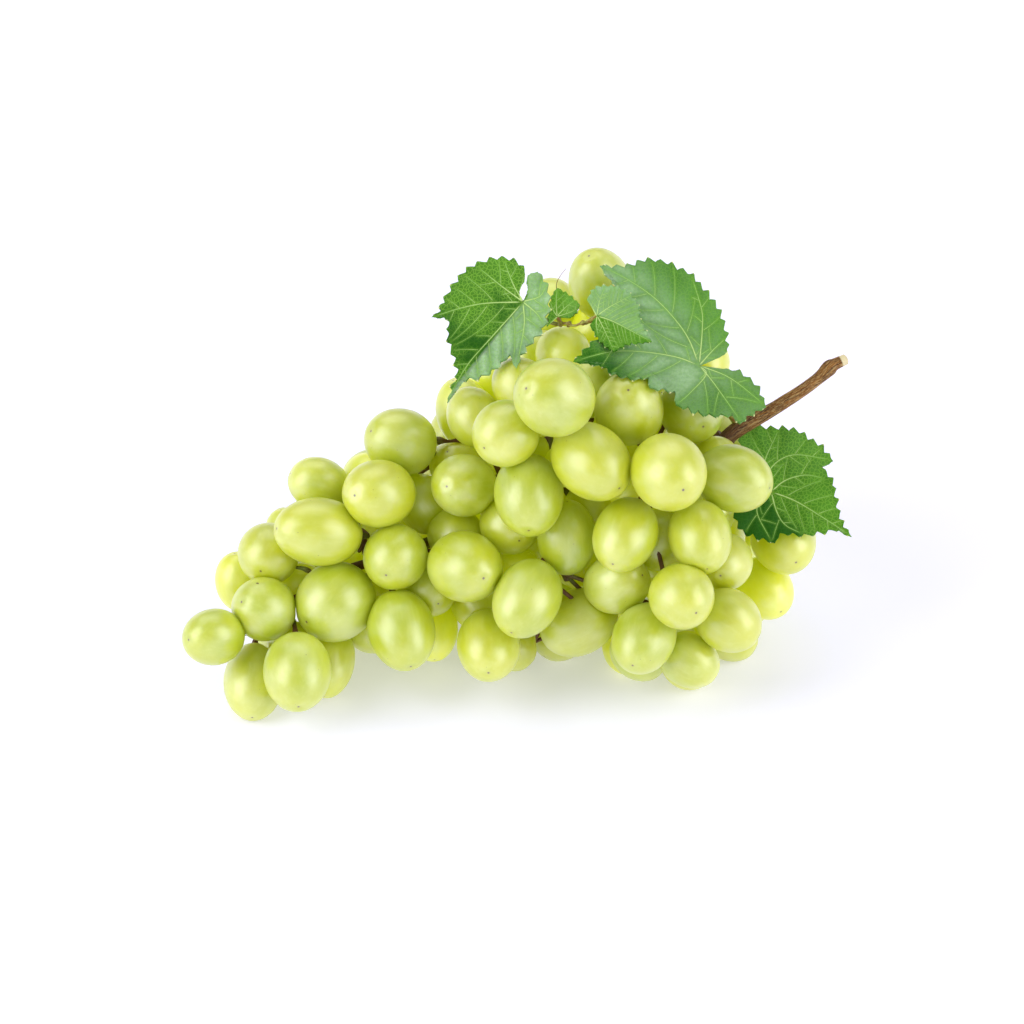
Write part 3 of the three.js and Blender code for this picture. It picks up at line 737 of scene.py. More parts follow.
def limb(name, rows, columns, steps, rough=0.0, knots=()):
    # a round limb: a grid rolled up along its line, closed at its ends
    o, u, v = gridPiece(name, columns, steps)
    line, at = smoothPath(rows, steps + 1)
    side, other = sideways(line[:, :3])
    i = np.rint(v * steps).astype(int)
    turn = 2 * math.pi * u
    radius = line[i, 3].copy()
    for where, swell, spread in knots:
        radius *= 1 + swell * np.exp(-((at[i] - where) / spread) ** 2)
    if rough:
        around, lengthwise = limbShape["lumps"]
        for k in range(len(u)):
            spot = Vector((math.cos(turn[k]) * around, math.sin(turn[k]) * around, at[i[k]] * lengthwise))
            lumps = noise.noise(spot) + 0.5 * noise.noise(spot * limbShape["finer"])
            radius[k] *= 1 + rough * lumps
    radius[(v < 1e-6) | (v > 1 - 1e-6)] *= limbShape["endShare"]
    wide, high = (np.cos(turn) * radius)[:, None], (np.sin(turn) * radius)[:, None]
    layVertices(o, line[i, :3] + side[i] * wide + other[i] * high)
    layer = o.data.uv_layers[0]
    layer.name = "UVMap"
    uv = np.empty(len(layer.data) * 2, np.float32)
    layer.data.foreach_get("uv", uv)
    uv = uv.reshape(-1, 2)
    uv[:, 1] *= at[-1]  # millimetres along the limb
    layer.data.foreach_set("uv", uv.ravel())
    inEdit(o)
    bpy.ops.mesh.remove_doubles(threshold=1e-6)
    bpy.ops.mesh.select_all(action="DESELECT")
    bpy.ops.mesh.select_non_manifold(extend=False)
    bpy.ops.mesh.fill_holes(sides=0)
    bpy.ops.mesh.select_all(action="SELECT")
    bpy.ops.mesh.normals_make_consistent(inside=False)
    outOfEdit()
    bpy.ops.object.shade_smooth_by_angle(angle=math.radians(limbShape["sharp"]))
    return o


bark = {
    "dark": (0.045, 0.014, 0.002), "red": (0.25, 0.098, 0.013), "pale": (0.66, 0.45, 0.17),
    "torn": (0.80, 0.70, 0.42), "stemGreen": (0.20, 0.24, 0.05), "stemBrown": (0.13, 0.05, 0.014),
    "shootGreen": (0.40, 0.42, 0.08), "shootBrown": (0.28, 0.13, 0.035),
    "shadedTo": 15, "tornFrom": 45.6,  # millimetres along the cane
}


def barkMaterial():
    d = Desk("caneBark")
    u, v, _ = d.split(d.spread("UVMap"))
    turn = d.math("MULTIPLY", u, 2 * math.pi)
    ring = d.node("ShaderNodeCombineXYZ", {0: d.math("COSINE", turn), 1: d.math("SINE", turn),
                                           2: d.math("MULTIPLY", v, 0.05)}).outputs[0]
    grooves = d.cloud(ring, 5.5, 7.0, 0.62)
    blotches = d.cloud(d.stretch(ring, (2, 2, 3)), 1.6, 5.0)
    fibres = d.cloud(ring, 16.0, 3.0)
    colour = d.mix(d.between(grooves, 0.36, 0.6), bark["dark"], bark["red"])
    colour = d.mix(d.between(blotches, 0.48, 0.72, 0, 0.55), colour, bark["pale"])
    colour = d.mix(d.between(fibres, 0.50, 0.66, 0, 0.55), colour, bark["pale"])
    colour = d.mix(d.between(v, bark["shadedTo"], 2, 0, 0.75), colour, bark["dark"])
    colour = d.mix(d.between(v, bark["tornFrom"], bark["tornFrom"] + 0.5), colour, bark["torn"])
    return d.wear(Base_Color=colour, Roughness=0.62, Specular_IOR_Level=0.3,
                  Normal=d.bump(grooves, 0.8, 0.0005))


def stemMaterial():
    d = Desk("stemSkin")
    woody = d.cloud(d.place(), 90.0, 3.0)
    flecks = d.cloud(d.place(), 1400.0, 3.0)
    colour = d.mix(d.between(woody, 0.3, 0.5), bark["stemGreen"], bark["stemBrown"])
    colour = d.mix(d.between(flecks, 0.5, 0.75, 0, 0.6), colour, bark["dark"])
    return d.wear(Base_Color=colour, Roughness=0.6, Normal=d.bump(flecks, 0.5, 0.0002))


def petioleMaterial():
    d = Desk("petioleSkin")
    streaks = d.cloud(d.stretch(d.spread("UVMap"), (9, 0.35, 1)), 1.5, 3.0)
    colour = d.mix(d.between(streaks, 0.35, 0.65), bark["shootGreen"], bark["shootBrown"])
    return d.wear(Base_Color=colour, Roughness=0.5, Normal=d.bump(streaks, 0.3, 0.0002))


barkSkin, stemSkin, petioleSkin = barkMaterial(), stemMaterial(), petioleMaterial()

# The cane and its shoot, a little straighter than the room that is kept for them, the stub that
# carries the bunch, bare twigs and a tendril: rows of across, up, behind and radius.
wood = {
    "cane": [
        (62.5, 20.5, 1, 2.2), (66.9, 24.2, 3, 2.4), (74.4, 28.6, 5.5, 2.2), (80.4, 32.2, 6.5, 2.05),
        (86.4, 36, 7.5, 1.95), (92.2, 40.3, 8.7, 1.9), (95.2, 43.2, 9, 2.35), (97, 44.4, 9.5, 1.85),
        (100.5, 46, 10, 1.6),
    ],
    "shoot": [
        (68, 26, 4, 1.3), (61, 36, -1, 1.1), (55, 42, -4, 1), (50, 48, -4, 0.9), (42, 53, -4, 0.8),
        (34, 55, -8, 0.7), (26, 56.8, -12, 0.45), (22, 56.9, -12, 0.38), (18.6, 55.9, -10, 0.38),
        (16.2, 56.6, -8.5, 0.4), (13.8, 56.2, -7.2, 0.4),
    ],
    "knots": (  # on the shoot: how far along, how much thicker and how long
        (14, 0.5, 1.5), (30, 0.5, 1.5), (46, 0.6, 1.4), (62.5, 1.3, 0.6), (67.5, 1.7, 0.55),
        (70.5, 1.5, 0.5),
    ),
    "stub": [(68.2, 26, 5, 1.5), (66.6, 23.2, 3.4, 1.3), (65.6, 20.6, 3, 1.0), (65.3, 18, 4, 0.8)],
    "twigs": [  # short bare bits of stem that show between the berries
        [(-26, 20.6, 4, 0.6), (-22.6, 21.4, 2, 0.9), (-19, 21.2, 3, 0.5), (-16, 21.4, 4, 0.7),
         (-13, 20, 9, 0.5)],
        [(3.4, 14.5, 0, 0.7), (6.4, 17.4, -3, 0.6), (8.6, 20, -4, 1.1), (10.4, 21.2, -3, 0.6),
         (13, 24.4, -1, 0.7)],
        [(5.2, 19.6, -2, 0.5), (8, 18.8, -4, 0.5), (10.6, 18.6, -2, 0.4)],
        [(38.5, 22.6, 0, 0.6), (41, 24.4, -3, 0.5), (44, 26.4, 0, 0.6)],
        [(-65, -16.6, -2, 0.5), (-62.4, -17, -4, 0.6), (-59.4, -18.6, -2, 0.4)],
        [(-46, -12, 0, 0.6), (-44.5, -9.5, -3, 0.7), (-44, -6, 0, 0.4)],
    ],
    "tendril": [
        (14.6, 57, -6, 0.3), (14.2, 61, -2, 0.2), (13.5, 66, -2, 0.16), (13.4, 68.6, -4, 0.13),
        (14.6, 71, -5, 0.1), (16.2, 73, -5, 0.07),
    ],
}
caneWhole = limb("cane_wood", seenLimb(wood["cane"]), 28, 110, rough=0.05)
stub = limb("cane_stub", seenLimb(wood["stub"]), 14, 24, rough=0.12)
finishPiece(joined("cane_wood", [caneWhole, stub]), barkSkin, "cane")
shootStick = limb("shoot_stick", seenLimb(wood["shoot"]), 12, 240, rough=0.10, knots=wood["knots"])
tendril = limb("tendril", seenLimb(wood["tendril"]), 6, 40)
finishPiece(joined("shoot_green", [shootStick, tendril]), petioleSkin, "cane")

pedicel = {
    "radius": 0.75, "swell": 1.7, "sunk": 1.2, "square": 3.5,  # it meets the berry square
    "sway": 0.8, "waist": 0.85, "collar": 1.1, "foot": 1.5,
    "sides": 7, "steps": 8, "choices": 12, "rootPitch": 4,
}


def stemRoots():
    found = []
    for path in stems:
        for a, b in zip(path, path[1:]):
            a, b = np.array(a[:3], float), np.array(b[:3], float)
            count = math.ceil(float(np.linalg.norm(b - a)) / pedicel["rootPitch"])
            found += [a + (b - a) * (k + 1) / count for k in range(count)]
    return np.array(found)


def blocked(root, end, own):
    way = end - root
    at = np.array([b["at"] for b in berries])
    t = np.clip((at - root) @ way / (way @ way), 0, 1)
    gap = np.linalg.norm(root + way * t[:, None] - at, axis=1)
    inside = gap < np.array([b["reach"] for b in berries])
    inside[own] = False
    return inside.any()


def pedicelRows(index, roots, draw):
    b = berries[index]
    end = b["at"] + b["tip"] * (pedicel["sunk"] - b["length"] / 2)
    order = np.argsort(np.linalg.norm(roots - end, axis=1))[:pedicel["choices"]]
    free = [i for i in order if not blocked(roots[i], end, index)]
    root = roots[free[0] if free else order[0]]
    out = end - b["tip"] * pedicel["square"]
    sway = np.array([draw(-1, 1), draw(-1, 1), draw(-1, 0.4)]) * pedicel["sway"]
    middle = (root + out) / 2 + sway
    collar = end - b["tip"] * pedicel["collar"]
    r = pedicel["radius"]
    return [(*root, r), (*middle, r * pedicel["waist"]), (*out, r), (*collar, r * pedicel["swell"]),
            (*end, r * pedicel["foot"])]


def makeStems():
    draw = Draws(19)
    pieces = [limb("main_stem", rachis, 18, 120, rough=0.12),
              limb("shoulder_stem", shoulder, 14, 40, rough=0.12)]
    for k, rows in enumerate(stems[2:]):
        pieces.append(limb(f"branch_{k}", rows, 10, 14, rough=0.1))
    for k, rows in enumerate(wood["twigs"]):
        pieces.append(limb(f"twig_{k}", seenLimb(rows), 10, 24, rough=0.3, knots=((5, 0.5, 1.2),)))
    roots = stemRoots()
    for index in range(skinCount):
        rows = pedicelRows(index, roots, draw)
        pieces.append(limb(f"pedicel_{index}", rows, pedicel["sides"], pedicel["steps"]))
    return joined("bunch_stems", pieces)


finishPiece(makeStems(), stemSkin, "bunch")
print("stems and cane modelled")


# The leaves.

leafShape = {
    "rings": 46, "rimStep": 0.5,  # how finely a blade is laid out, in millimetres along its rim
    "corner": 50,  # an outline that turns more than this, in degrees, keeps a corner there
    "toothPitch": 3.5, "toothOut": 1.0, "toothIn": 0.65, "toothPeak": 0.66, "toothSharp": 1.15,
    "toothDeep": 10, "calm": 2.6,  # how near the rim the teeth begin, and how far from a corner
    "clear": 2.0, "thick": 0.45, "bendOver": 8, "petiole": 0.62, "sinusFrom": 0.72,
    "ruffle": 1.5, "ruffleSize": 11, "puff": 0.6, "puffWidth": 1.6,
}
veinShape = {
    "lean": 54, "bends": 1.5,  # degrees off the main vein, and back towards its tip each millimetre
    "step": 0.6, "longest": 26, "room": 1.0,
    "mainWide": (0.37, 0.15), "sideWide": (0.20, 0.11), "proud": 0.09,  # half widths, base to end
    "mainPale": 1.0, "sidePale": 0.6, "mainFaces": (6, 24), "sideFaces": (5, 12),
    "first": 2.2, "spare": 2.5, "stagger": {1: 0.5, -1: 0.15}, "shortest": 4,  # side veins
}
# Each leaf's painted light and painted sheen are made of ramps: the value before and after each, the way it
# runs, its start and its end.
leaves = [
    {
        "name": "leaf_left", "base": (3.3, 63), "size": 1.0, "pitch": 5.4, "net": 0.75,
        "brightGreenAndPaintedLit": (np.maximum, [(0.12, 0.24, (0, 1), -12, 5)]),
        "paintedSheen": (np.maximum, [(0, 0.9, (0.777, -0.63), -0.4, 0.8), (0, 0.75, (1, 0), 0.9, 1.8)]),
        "sinus": ((3.4, 66.0), (1.2, 3.0), -12),
        "outline": [
            (3.9, 71.4), (3.2, 73.6), (0, 75.6), (-4.5, 76.2), (-12, 73.8), (-16.5, 69.6), (-21.3, 62.1),
            (-21.4, 60.3), (-24.3, 58.4), (-20.4, 58.4), (-18.8, 57), (-19.2, 52.2), (-16.8, 44.1),
            (-16.6, 40), (-17.9, 37), (-19.4, 32.7), (-17.2, 36.8), (-15.2, 39.2), (-7.8, 41.1),
            (-0.6, 47), (1.3, 42.9), (2.9, 47.2), (5.6, 50.6), (9.9, 56.1), (11.1, 64.7), (9.5, 69.8),
            (7.6, 72.1), (4.7, 71),
        ],
        "veins": [
            [(-8.1, 62.6), (-16, 61), (-23.6, 58.6)],
            [(-1.2, 58), (-6.6, 52), (-12.6, 45.2), (-16.2, 39.6), (-19, 34)],
            [(-3.5, 68), (-10, 73.2)], [(0.2, 68.5), (-2.4, 75.4)],
            [(3.7, 56), (1.8, 45)], [(8.4, 64.6), (10.4, 68)], [(7.4, 59.5), (9.4, 56.6)],
        ],
        "behind": -7, "slope": (0, 0.25), "bend": 0, "fold": (-0.63, -0.777, 0.4),
        "petiole": [(13.8, 56.2, -6.5), (9, 58, -3.5), (3.3, 63, -6.8)],
    },
    {
        "name": "leaf_small_left", "base": (13.5, 58.5), "size": 0.55, "pitch": 2.6, "net": 0.6,
        "brightGreenAndPaintedLit": (np.maximum, [(0.3, 0.8, (0.3, 0.95), 0, 7)]),
        "paintedSheen": (np.maximum, [(0, 0.1, (1, 0), 0, 4)]),
        "outline": [
            (17.4, 58.2), (19.2, 59.7), (20.4, 62.1), (18.6, 63.9), (16.2, 65.7), (13.5, 67.2),
            (12, 64.8), (11.1, 60.6), (10.5, 55.5),
        ],
        "veins": [[(13.2, 62), (13.4, 67)], [(16, 61.2), (18.9, 63.4)], [(17, 59.6), (20, 61)],
                  [(12.2, 60.6), (11.4, 63)], [(12.2, 57.3), (10.8, 56)]],
        "behind": -10, "slope": (0.1, 0.5), "bend": 0, "fold": (0.3, 0.95, 0.35),
        "petiole": [(15, 56.4, -7.5), (14.2, 57.3, -9), (13.5, 58.5, -9.9)],
    },
    {
        "name": "leaf_small_right", "base": (25.5, 58.8), "size": 0.6, "pitch": 1.5, "net": 0.35,
        "brightGreenAndPaintedLit": (np.maximum, [(0.2, 0.45, (0.43, 0.9), -6, 2)]),
        "paintedSheen": (np.maximum, [(0, 0.85, (0.43, 0.9), -0.2, 1.2)]),
        "outline": [
            (23.4, 56.1), (25.5, 52.5), (27.6, 50.1), (30.6, 48), (34.8, 50.1), (42, 51),
            (38.4, 57.6), (37.8, 62.1), (33.9, 66.6), (29.4, 67.8), (24.9, 67.2), (22.5, 63.6),
        ],
        "veins": [[(31, 56.8), (41.5, 51.2)], [(29.6, 61.6), (36, 65)], [(27.6, 54.6), (30.4, 48.6)],
                  [(26.2, 62.8), (27.8, 67.2)], [(24.3, 61), (23, 63.6)], [(25.2, 56), (25.8, 53)]],
        "behind": -16, "slope": (0, 0.5), "bend": 0, "fold": (0.7, -0.7, 0.3),
        "petiole": [(22, 56.6, -10), (23.6, 57.6, -13), (25.5, 58.8, -15.9)],
    },
    {
        "name": "leaf_large", "base": (56.1, 43.8), "size": 1.25, "pitch": 7.2, "net": 0.3,
        "brightGreenAndPaintedLit": (np.maximum, [(0.05, 0.5, (0.75, 0.66), -34, 12)]),
        "paintedSheen": (np.minimum, [(0, 0.7, (0.75, 0.66), -22, -9), (0.7, 0.12, (0.75, 0.66), -2, 13),
                              (0.7, 0.22, (0.3, -0.95), 3, 11)]),
        "outline": [
            (62.4, 46.5), (64.5, 48), (64.5, 51.6), (63, 58.2), (60.6, 63), (56.4, 68.1),
            (52.8, 71.7), (44.4, 75.3), (38.7, 75.3), (34.8, 73.8), (26.4, 73.8), (29.4, 70.2),
            (31.8, 67.2), (30, 60.6), (27.9, 54.6), (23.4, 50.1), (18.3, 45.1), (26.4, 44.2),
            (29.4, 42), (34.8, 40.2), (40.8, 40.2), (41.4, 37.2), (48.9, 36), (49.2, 32.1),
            (57.9, 29.1), (65.4, 28.8), (68.4, 26.4), (71.4, 29.1), (76.2, 31.5), (73.5, 37.5),
            (68.4, 41.6), (63, 42.8),
        ],
        "veins": [
            [(53, 51.6), (48.9, 57.6), (42.9, 63.9), (35.4, 69.2), (27.4, 73.4)],
            [(49, 46.4), (38.4, 48), (29.4, 47.9), (19, 45.3)],
            [(57, 54.6), (56.8, 60.6), (54, 70)], [(60.2, 48.4), (64, 52)],
            [(58.2, 41.1), (53.4, 35.6), (49.8, 32.4)], [(60.4, 38.6), (68.2, 27.6)],
            [(65.4, 40), (75.2, 32.4)],
        ],
        "behind": -13, "slope": (0.42, 1), "bend": 0.5, "fold": (-0.7, 0.7, 0),
        "petiole": [(52.5, 45.2, -4.6), (54.4, 44, -8.5), (56.1, 43.8, -12.8)],
    },
    {
        "name": "leaf_right", "base": (77.7, 6), "size": 1.0, "pitch": 5.4, "net": 0.6, "tucked": True,
        "brightGreenAndPaintedLit": (np.maximum, [(-0.35, 0.4, (0.75, 0.66), -9, 3)]),
        "paintedSheen": (np.maximum, [(0, 0.05, (0, 1), 0, 10)]),
        "outline": [
            (67, 8), (66.5, 0.6), (68.4, -4.8), (71.4, -6.9), (78.9, -9.3), (80.4, -6.3),
            (87.9, -6.9), (93.9, -6), (97.8, -5.4), (101.9, -7.5), (99.4, -4), (98.2, -0.6),
            (96.9, 5.1), (96.3, 9), (93, 13.5), (96.3, 15.3), (93, 19.5), (89.7, 21.6),
            (84.9, 24.6), (78.9, 25.2), (71.4, 25.2), (67.8, 21.6),
        ],
        "veins": [
            [(84.6, 3.4), (92.4, -1.2), (101.1, -6.9)], [(82, 9.4), (88, 11), (93.6, 10)],
            [(77.4, 12.6), (84, 17), (95.6, 15.6)], [(79.4, 0), (82, -4), (87, -6.6)],
            [(73.4, 0.6), (77.6, -8.6)], [(75.6, 14), (80, 24.6)], [(71, 8), (67.4, 8)],
        ],
        "behind": -3, "slope": (0.1, 0.45), "bend": 0, "fold": (1, -0.5, 0),
        "petiole": [(68.5, 26, 6.5), (69.8, 19, 9), (73, 10.5, 2), (77.9, 5.7, -3.2)],
    },
]


def liesAt(leaf, across, up, lift=0.0):
    # the same rule as the solids': a folded or bent plane, pushed clear of the berries
    bx, by = leaf["base"]
    da, du = across - bx, up - by
    fx, fy, folded = leaf["fold"]
    behind = leaf["behind"] + leaf["slope"][0] * da + leaf["slope"][1] * du
    behind = behind - folded * np.abs(da * fy - du * fx)
    bend = leafShape["bendOver"]
    behind = behind - leaf["bend"] * bend * np.log(np.cosh(du / bend)) + lift
    at = seen(across, up, behind)
    sightWay = unitRows(at - eye)
    for b in berries[:skinCount]:
        away = at - b["at"]
        gap = np.linalg.norm(away, axis=1)
        reach = reachOf(b["tip"], b["width"], b["length"], away / gap[:, None]) + leafShape["clear"]
        hit = gap < reach
        if not hit.any():
            continue
        depth = (away * sightWay).sum(1)
        side = np.where(bool(leaf.get("tucked")) & (depth > 0), 1, -1)
        push = -depth + side * np.sqrt(np.maximum(depth ** 2 + reach ** 2 - gap ** 2, 0))
        at = at + sightWay * np.where(hit, push, 0)[:, None]
    return at


def softLine(points, step):  # a soft curve through points of the blade, evenly stepped
    points = np.array(points, float)
    long = np.linalg.norm(np.diff(points, axis=0), axis=1).sum()
    return smoothPath(np.c_[points, np.zeros(len(points))], max(3, round(long / step) + 1))[0][:, :2]


def softPieces(outline):  # the outline between its corners
    points = np.array(outline, float)
    way = np.diff(points, axis=0)
    heading = np.arctan2(way[:, 1], way[:, 0])
    turn = np.abs((np.diff(heading) + math.pi) % (2 * math.pi) - math.pi)
    cuts = [0, *(i + 1 for i, t in enumerate(turn) if t > math.radians(leafShape["corner"])), len(points) - 1]
    return [softLine(points[a:b + 1], leafShape["rimStep"]) for a, b in zip(cuts, cuts[1:])]


def rimOf(leaf, draw):
    # the plain rim, the rim with its teeth, and how near each place is to the tip of a tooth
    plain, toothed, tips = [], [], []
    size = min(leaf["size"], 1)
    peak = leafShape["toothPeak"]
    for line in softPieces(leaf["outline"]):
        at = np.arange(len(line)) / (len(line) - 1)
        long = np.linalg.norm(np.diff(line, axis=0), axis=1).sum()
        teeth = max(1, round(long / (leafShape["toothPitch"] * size)))
        highs = [draw(0.8, 1.15) if k % 2 else draw(0.5, 0.8) for k in range(teeth)]
        kinks = [(k + p) / teeth for k in range(teeth) for p in (0, peak)]
        at = np.unique(np.round(np.r_[at, kinks, 1], 6))
        at = at[np.r_[True, np.diff(at) * long > 0.05]]
        spots = np.stack([np.interp(at, np.linspace(0, 1, len(line)), line[:, c]) for c in (0, 1)], 1)
        way = np.gradient(spots, axis=0)
        out = unitRows(np.stack([way[:, 1], -way[:, 0]], 1))
        k = np.minimum((at * teeth).astype(int), teeth - 1)
        share = at * teeth - k
        saw = np.where(share < peak, share / peak, (1 - share) / (1 - peak)) ** leafShape["toothSharp"]
        high = (saw * (leafShape["toothOut"] + leafShape["toothIn"]) - leafShape["toothIn"]) * size
        high *= np.array(highs)[k] * np.clip(np.minimum(at, 1 - at) * long / leafShape["calm"], 0, 1)
        plain.append(spots)
        toothed.append(spots + out * high[:, None])
        tips.append(np.clip((saw - 0.6) / 0.4, 0, 1) * np.array(highs)[k])
    return np.vstack(plain), np.vstack(toothed), np.concatenate(tips)


def isInside(outline, spot):
    x, y = spot
    crossings = 0
    for (ax, ay), (bx, by) in zip(outline, outline[1:] + outline[:1]):
        if (ay > y) != (by > y) and x < ax + (y - ay) * (bx - ax) / (by - ay):
            crossings += 1
    return crossings % 2 == 1


def sideVeins(leaf, mains):
    # side veins leave each main vein in turn on either side, bend towards its tip, and stop at the
    # rim or at another vein
    rim = [*leaf["outline"], leaf["base"]]
    step, room = veinShape["step"], veinShape["room"] * min(leaf["size"] * 1.2, 1)
    taken = np.vstack(mains)
    found = []
    for line in mains:
        way = np.gradient(line, axis=0)
        heading = np.arctan2(way[:, 1], way[:, 0])
        count = int((len(line) * step - veinShape["spare"]) / leaf["pitch"])
        for k in range(max(count, 0)):
            for side in (1, -1):
                i = int((veinShape["first"] + (k + veinShape["stagger"][side]) * leaf["pitch"]) / step)
                if i >= len(line) - 2:
                    continue
                turn = heading[i] + side * math.radians(veinShape["lean"])
                path = [line[i]]
                while len(path) * step < veinShape["longest"]:
                    turn -= side * math.radians(veinShape["bends"]) * step
                    spot = path[-1] + step * np.array([math.cos(turn), math.sin(turn)])
                    if not isInside(rim, spot):
                        break
                    path.append(spot)
                    if len(path) > veinShape["shortest"]:
                        gaps = np.linalg.norm(taken - spot, axis=1)
                        if gaps.min() < room:
                            path.append(taken[gaps.argmin()])
                            break
                if len(path) > veinShape["shortest"]:
                    found.append(np.array(path))
                    taken = np.vstack([taken, path])
    return found


def spotTree(lines):
    spots = np.vstack(lines)
    tree = kdtree.KDTree(len(spots))
    for i, (x, y) in enumerate(spots):
        tree.insert((x, y, 0), i)
    tree.balance()
    return tree


def liftOf(leaf, spots, tree, seed):
    # the blade swells up between its veins and waves towards its rim
    gap = np.array([tree.find((x, y, 0))[2] for x, y in spots])
    swell = gap ** 2 / (gap ** 2 + leafShape["puffWidth"] ** 2)
    far = np.linalg.norm(spots - np.array(leaf["base"]), axis=1)
    span = max(math.dist(p, leaf["base"]) for p in leaf["outline"])
    wave = np.array([noise.noise(Vector((x / leafShape["ruffleSize"], y / leafShape["ruffleSize"], seed)))
                     for x, y in spots])
    wave *= np.clip(far / span, 0, 1) ** 1.5
    size = min(leaf["size"], 1)
    return (leafShape["ruffle"] * wave - leafShape["puff"] * swell) * size, gap


def shadeOf(leaf, points, name):
    merge, ramps = leaf[name]
    shade = None
    for low, high, way, start, end in ramps:
        t = np.clip(((points - leaf["base"]) @ np.array(way, float) - start) / (end - start), 0, 1)
        ramp = low + (high - low) * t * t * (3 - 2 * t)
        shade = ramp if shade is None else merge(shade, ramp)
    return shade


def openSinus(flat, sinus):
    # draws the blade back from the gap between the lobes at the petiole, and says what lies in it
    (x, y), (wide, high), lean = sinus
    turn = math.radians(lean)
    longwise = np.array([math.cos(turn), math.sin(turn)])
    crosswise = np.array([-longwise[1], longwise[0]])
    off = flat - (x, y)
    depth = np.sqrt((off @ longwise / wide) ** 2 + (off @ crosswise / high) ** 2)
    close = (depth > leafShape["sinusFrom"]) & (depth < 1)
    flat[close] = (x, y) + off[close] / depth[close][:, None]
    return depth <= leafShape["sinusFrom"]


def ribOf(leaf, template, own, line, wide, pale, tree, seed):
    # a ball drawn out to a thread and bent along a vein
    at = np.arccos(np.clip(own[:, 2], -1, 1)) / math.pi
    round_ = np.hypot(own[:, 0], own[:, 1])
    ends = np.clip(round_ * 6, 0, 1)
    flank, top = (np.where(round_ > 1e-6, own[:, c] / np.maximum(round_, 1e-6), 0) * ends for c in (0, 1))
    steps = np.r_[0, np.cumsum(np.linalg.norm(np.diff(line, axis=0), axis=1))]
    steps /= steps[-1]

    def place(shift):
        spots = np.stack([np.interp(at, steps, line[:, c]) for c in (0, 1)], 1) + shift
        lift, _ = liftOf(leaf, spots, tree, seed)
        return liesAt(leaf, spots[:, 0], spots[:, 1], lift)

    here = place((0, 0))
    nudge = 0.3
    normal = unitRows(np.cross(place((nudge, 0)) - here, place((0, nudge)) - here))
    way = np.stack([np.interp(at, steps, np.gradient(line[:, c])) for c in (0, 1)], 1)
    ahead = place(nudge * way / np.linalg.norm(way, axis=1)[:, None]) - here
    side = unitRows(np.cross(normal, ahead))
    half = wide[0] + (wide[1] - wide[0]) * at
    high = leafShape["thick"] / 2 + veinShape["proud"]
    rib = copyOf(template, here + side * (flank * half)[:, None] + normal * (top * high)[:, None])
    keepOnPoints(rib, "tone", np.stack([pale * (1 - at), 0 * at, 0 * at], 1))
    rib.data.materials.append(veinSkin)
    return rib


def makeBlade(leaf, draw, tree, seed):
    plain, toothed, tips = rimOf(leaf, draw)
    rings = max(16, int(leafShape["rings"] * min(1.0, leaf["size"])))
    o, u, v = gridPiece(leaf["name"] + "_blade", len(plain) - 1, rings)
    i = np.rint(u * (len(plain) - 1)).astype(int)
    base = np.array(leaf["base"])
    rim = plain[i] + (toothed[i] - plain[i]) * (v ** leafShape["toothDeep"])[:, None]
    flat = base + (rim - base) * v[:, None]
    doomed = openSinus(flat, leaf["sinus"]) if "sinus" in leaf else np.zeros(len(flat), bool)
    lift, gap = liftOf(leaf, flat, tree, seed)
    layVertices(o, liesAt(leaf, flat[:, 0], flat[:, 1], lift))
    mesh = o.data
    corner = np.empty(len(mesh.loops), np.int32)
    mesh.loops.foreach_get("vertex_index", corner)
    mesh.uv_layers[0].name = "spread"
    mesh.uv_layers[0].data.foreach_set("uv", np.asarray(flat[corner], np.float32).ravel())
    tooth = tips[i] * np.clip((v - 0.97) / 0.03, 0, 1)
    keepOnPoints(o, "look", np.stack([gap, np.full(len(v), leaf["net"]), tooth], 1))
    # painted light and painted sheen shares, and how far out towards the rim
    keepOnPoints(o, "tone", np.stack([shadeOf(leaf, flat, "brightGreenAndPaintedLit"), shadeOf(leaf, flat, "paintedSheen"), v], 1))
    selectVertices(o, doomed)
    bpy.ops.mesh.delete(type="VERT")
    inEdit(o)
    bpy.ops.mesh.remove_doubles(threshold=2e-6)
    bpy.ops.mesh.normals_make_consistent(inside=False)
    outOfEdit()
    facing = np.empty(len(mesh.polygons) * 3, np.float32)
    mesh.polygons.foreach_get("normal", facing)
    if facing.reshape(-1, 3).mean(0) @ toEye < 0:
        inEdit(o)
        bpy.ops.mesh.flip_normals()
        outOfEdit()
    shell = o.modifiers.new("thickness", "SOLIDIFY")
    shell.thickness = leafShape["thick"] * mm
    shell.offset = 0
    shell.material_offset = 1
    mesh.materials.clear()
    mesh.materials.append(leafTop)
    mesh.materials.append(leafUnder)
    bpy.ops.object.modifier_apply(modifier=shell.name)
    bpy.ops.object.shade_smooth_by_angle(angle=math.radians(60))
    return o


def makeLeaf(leaf, seed):
    mains = [softLine([leaf["base"], *vein], veinShape["step"]) for vein in leaf["veins"]]
    sides = sideVeins(leaf, mains)
    tree = spotTree([*mains, *sides])
    pieces = [makeBlade(leaf, Draws(seed), tree, seed)]
    size = min(leaf["size"], 1)
    for lines, kind in ((mains, "main"), (sides, "side")):
        template = ball(*veinShape[kind + "Faces"])
        own = verticesOf(template)
        wide = tuple(w * (0.4 + 0.6 * size) for w in veinShape[kind + "Wide"])
        pale = veinShape[kind + "Pale"]
        pieces += [ribOf(leaf, template, own, line, wide, pale, tree, seed) for line in lines]
        bpy.data.objects.remove(template)
    rows = seenLimb([(*p, leafShape["petiole"]) for p in leaf["petiole"]])
    stalk = limb(leaf["name"] + "_petiole", rows, 10, 40, rough=0.08)
    stalk.data.materials.append(petioleSkin)
    whole = joined(leaf["name"] + "_blade", [*pieces, stalk])
    finishPiece(whole, None, leaf["name"])
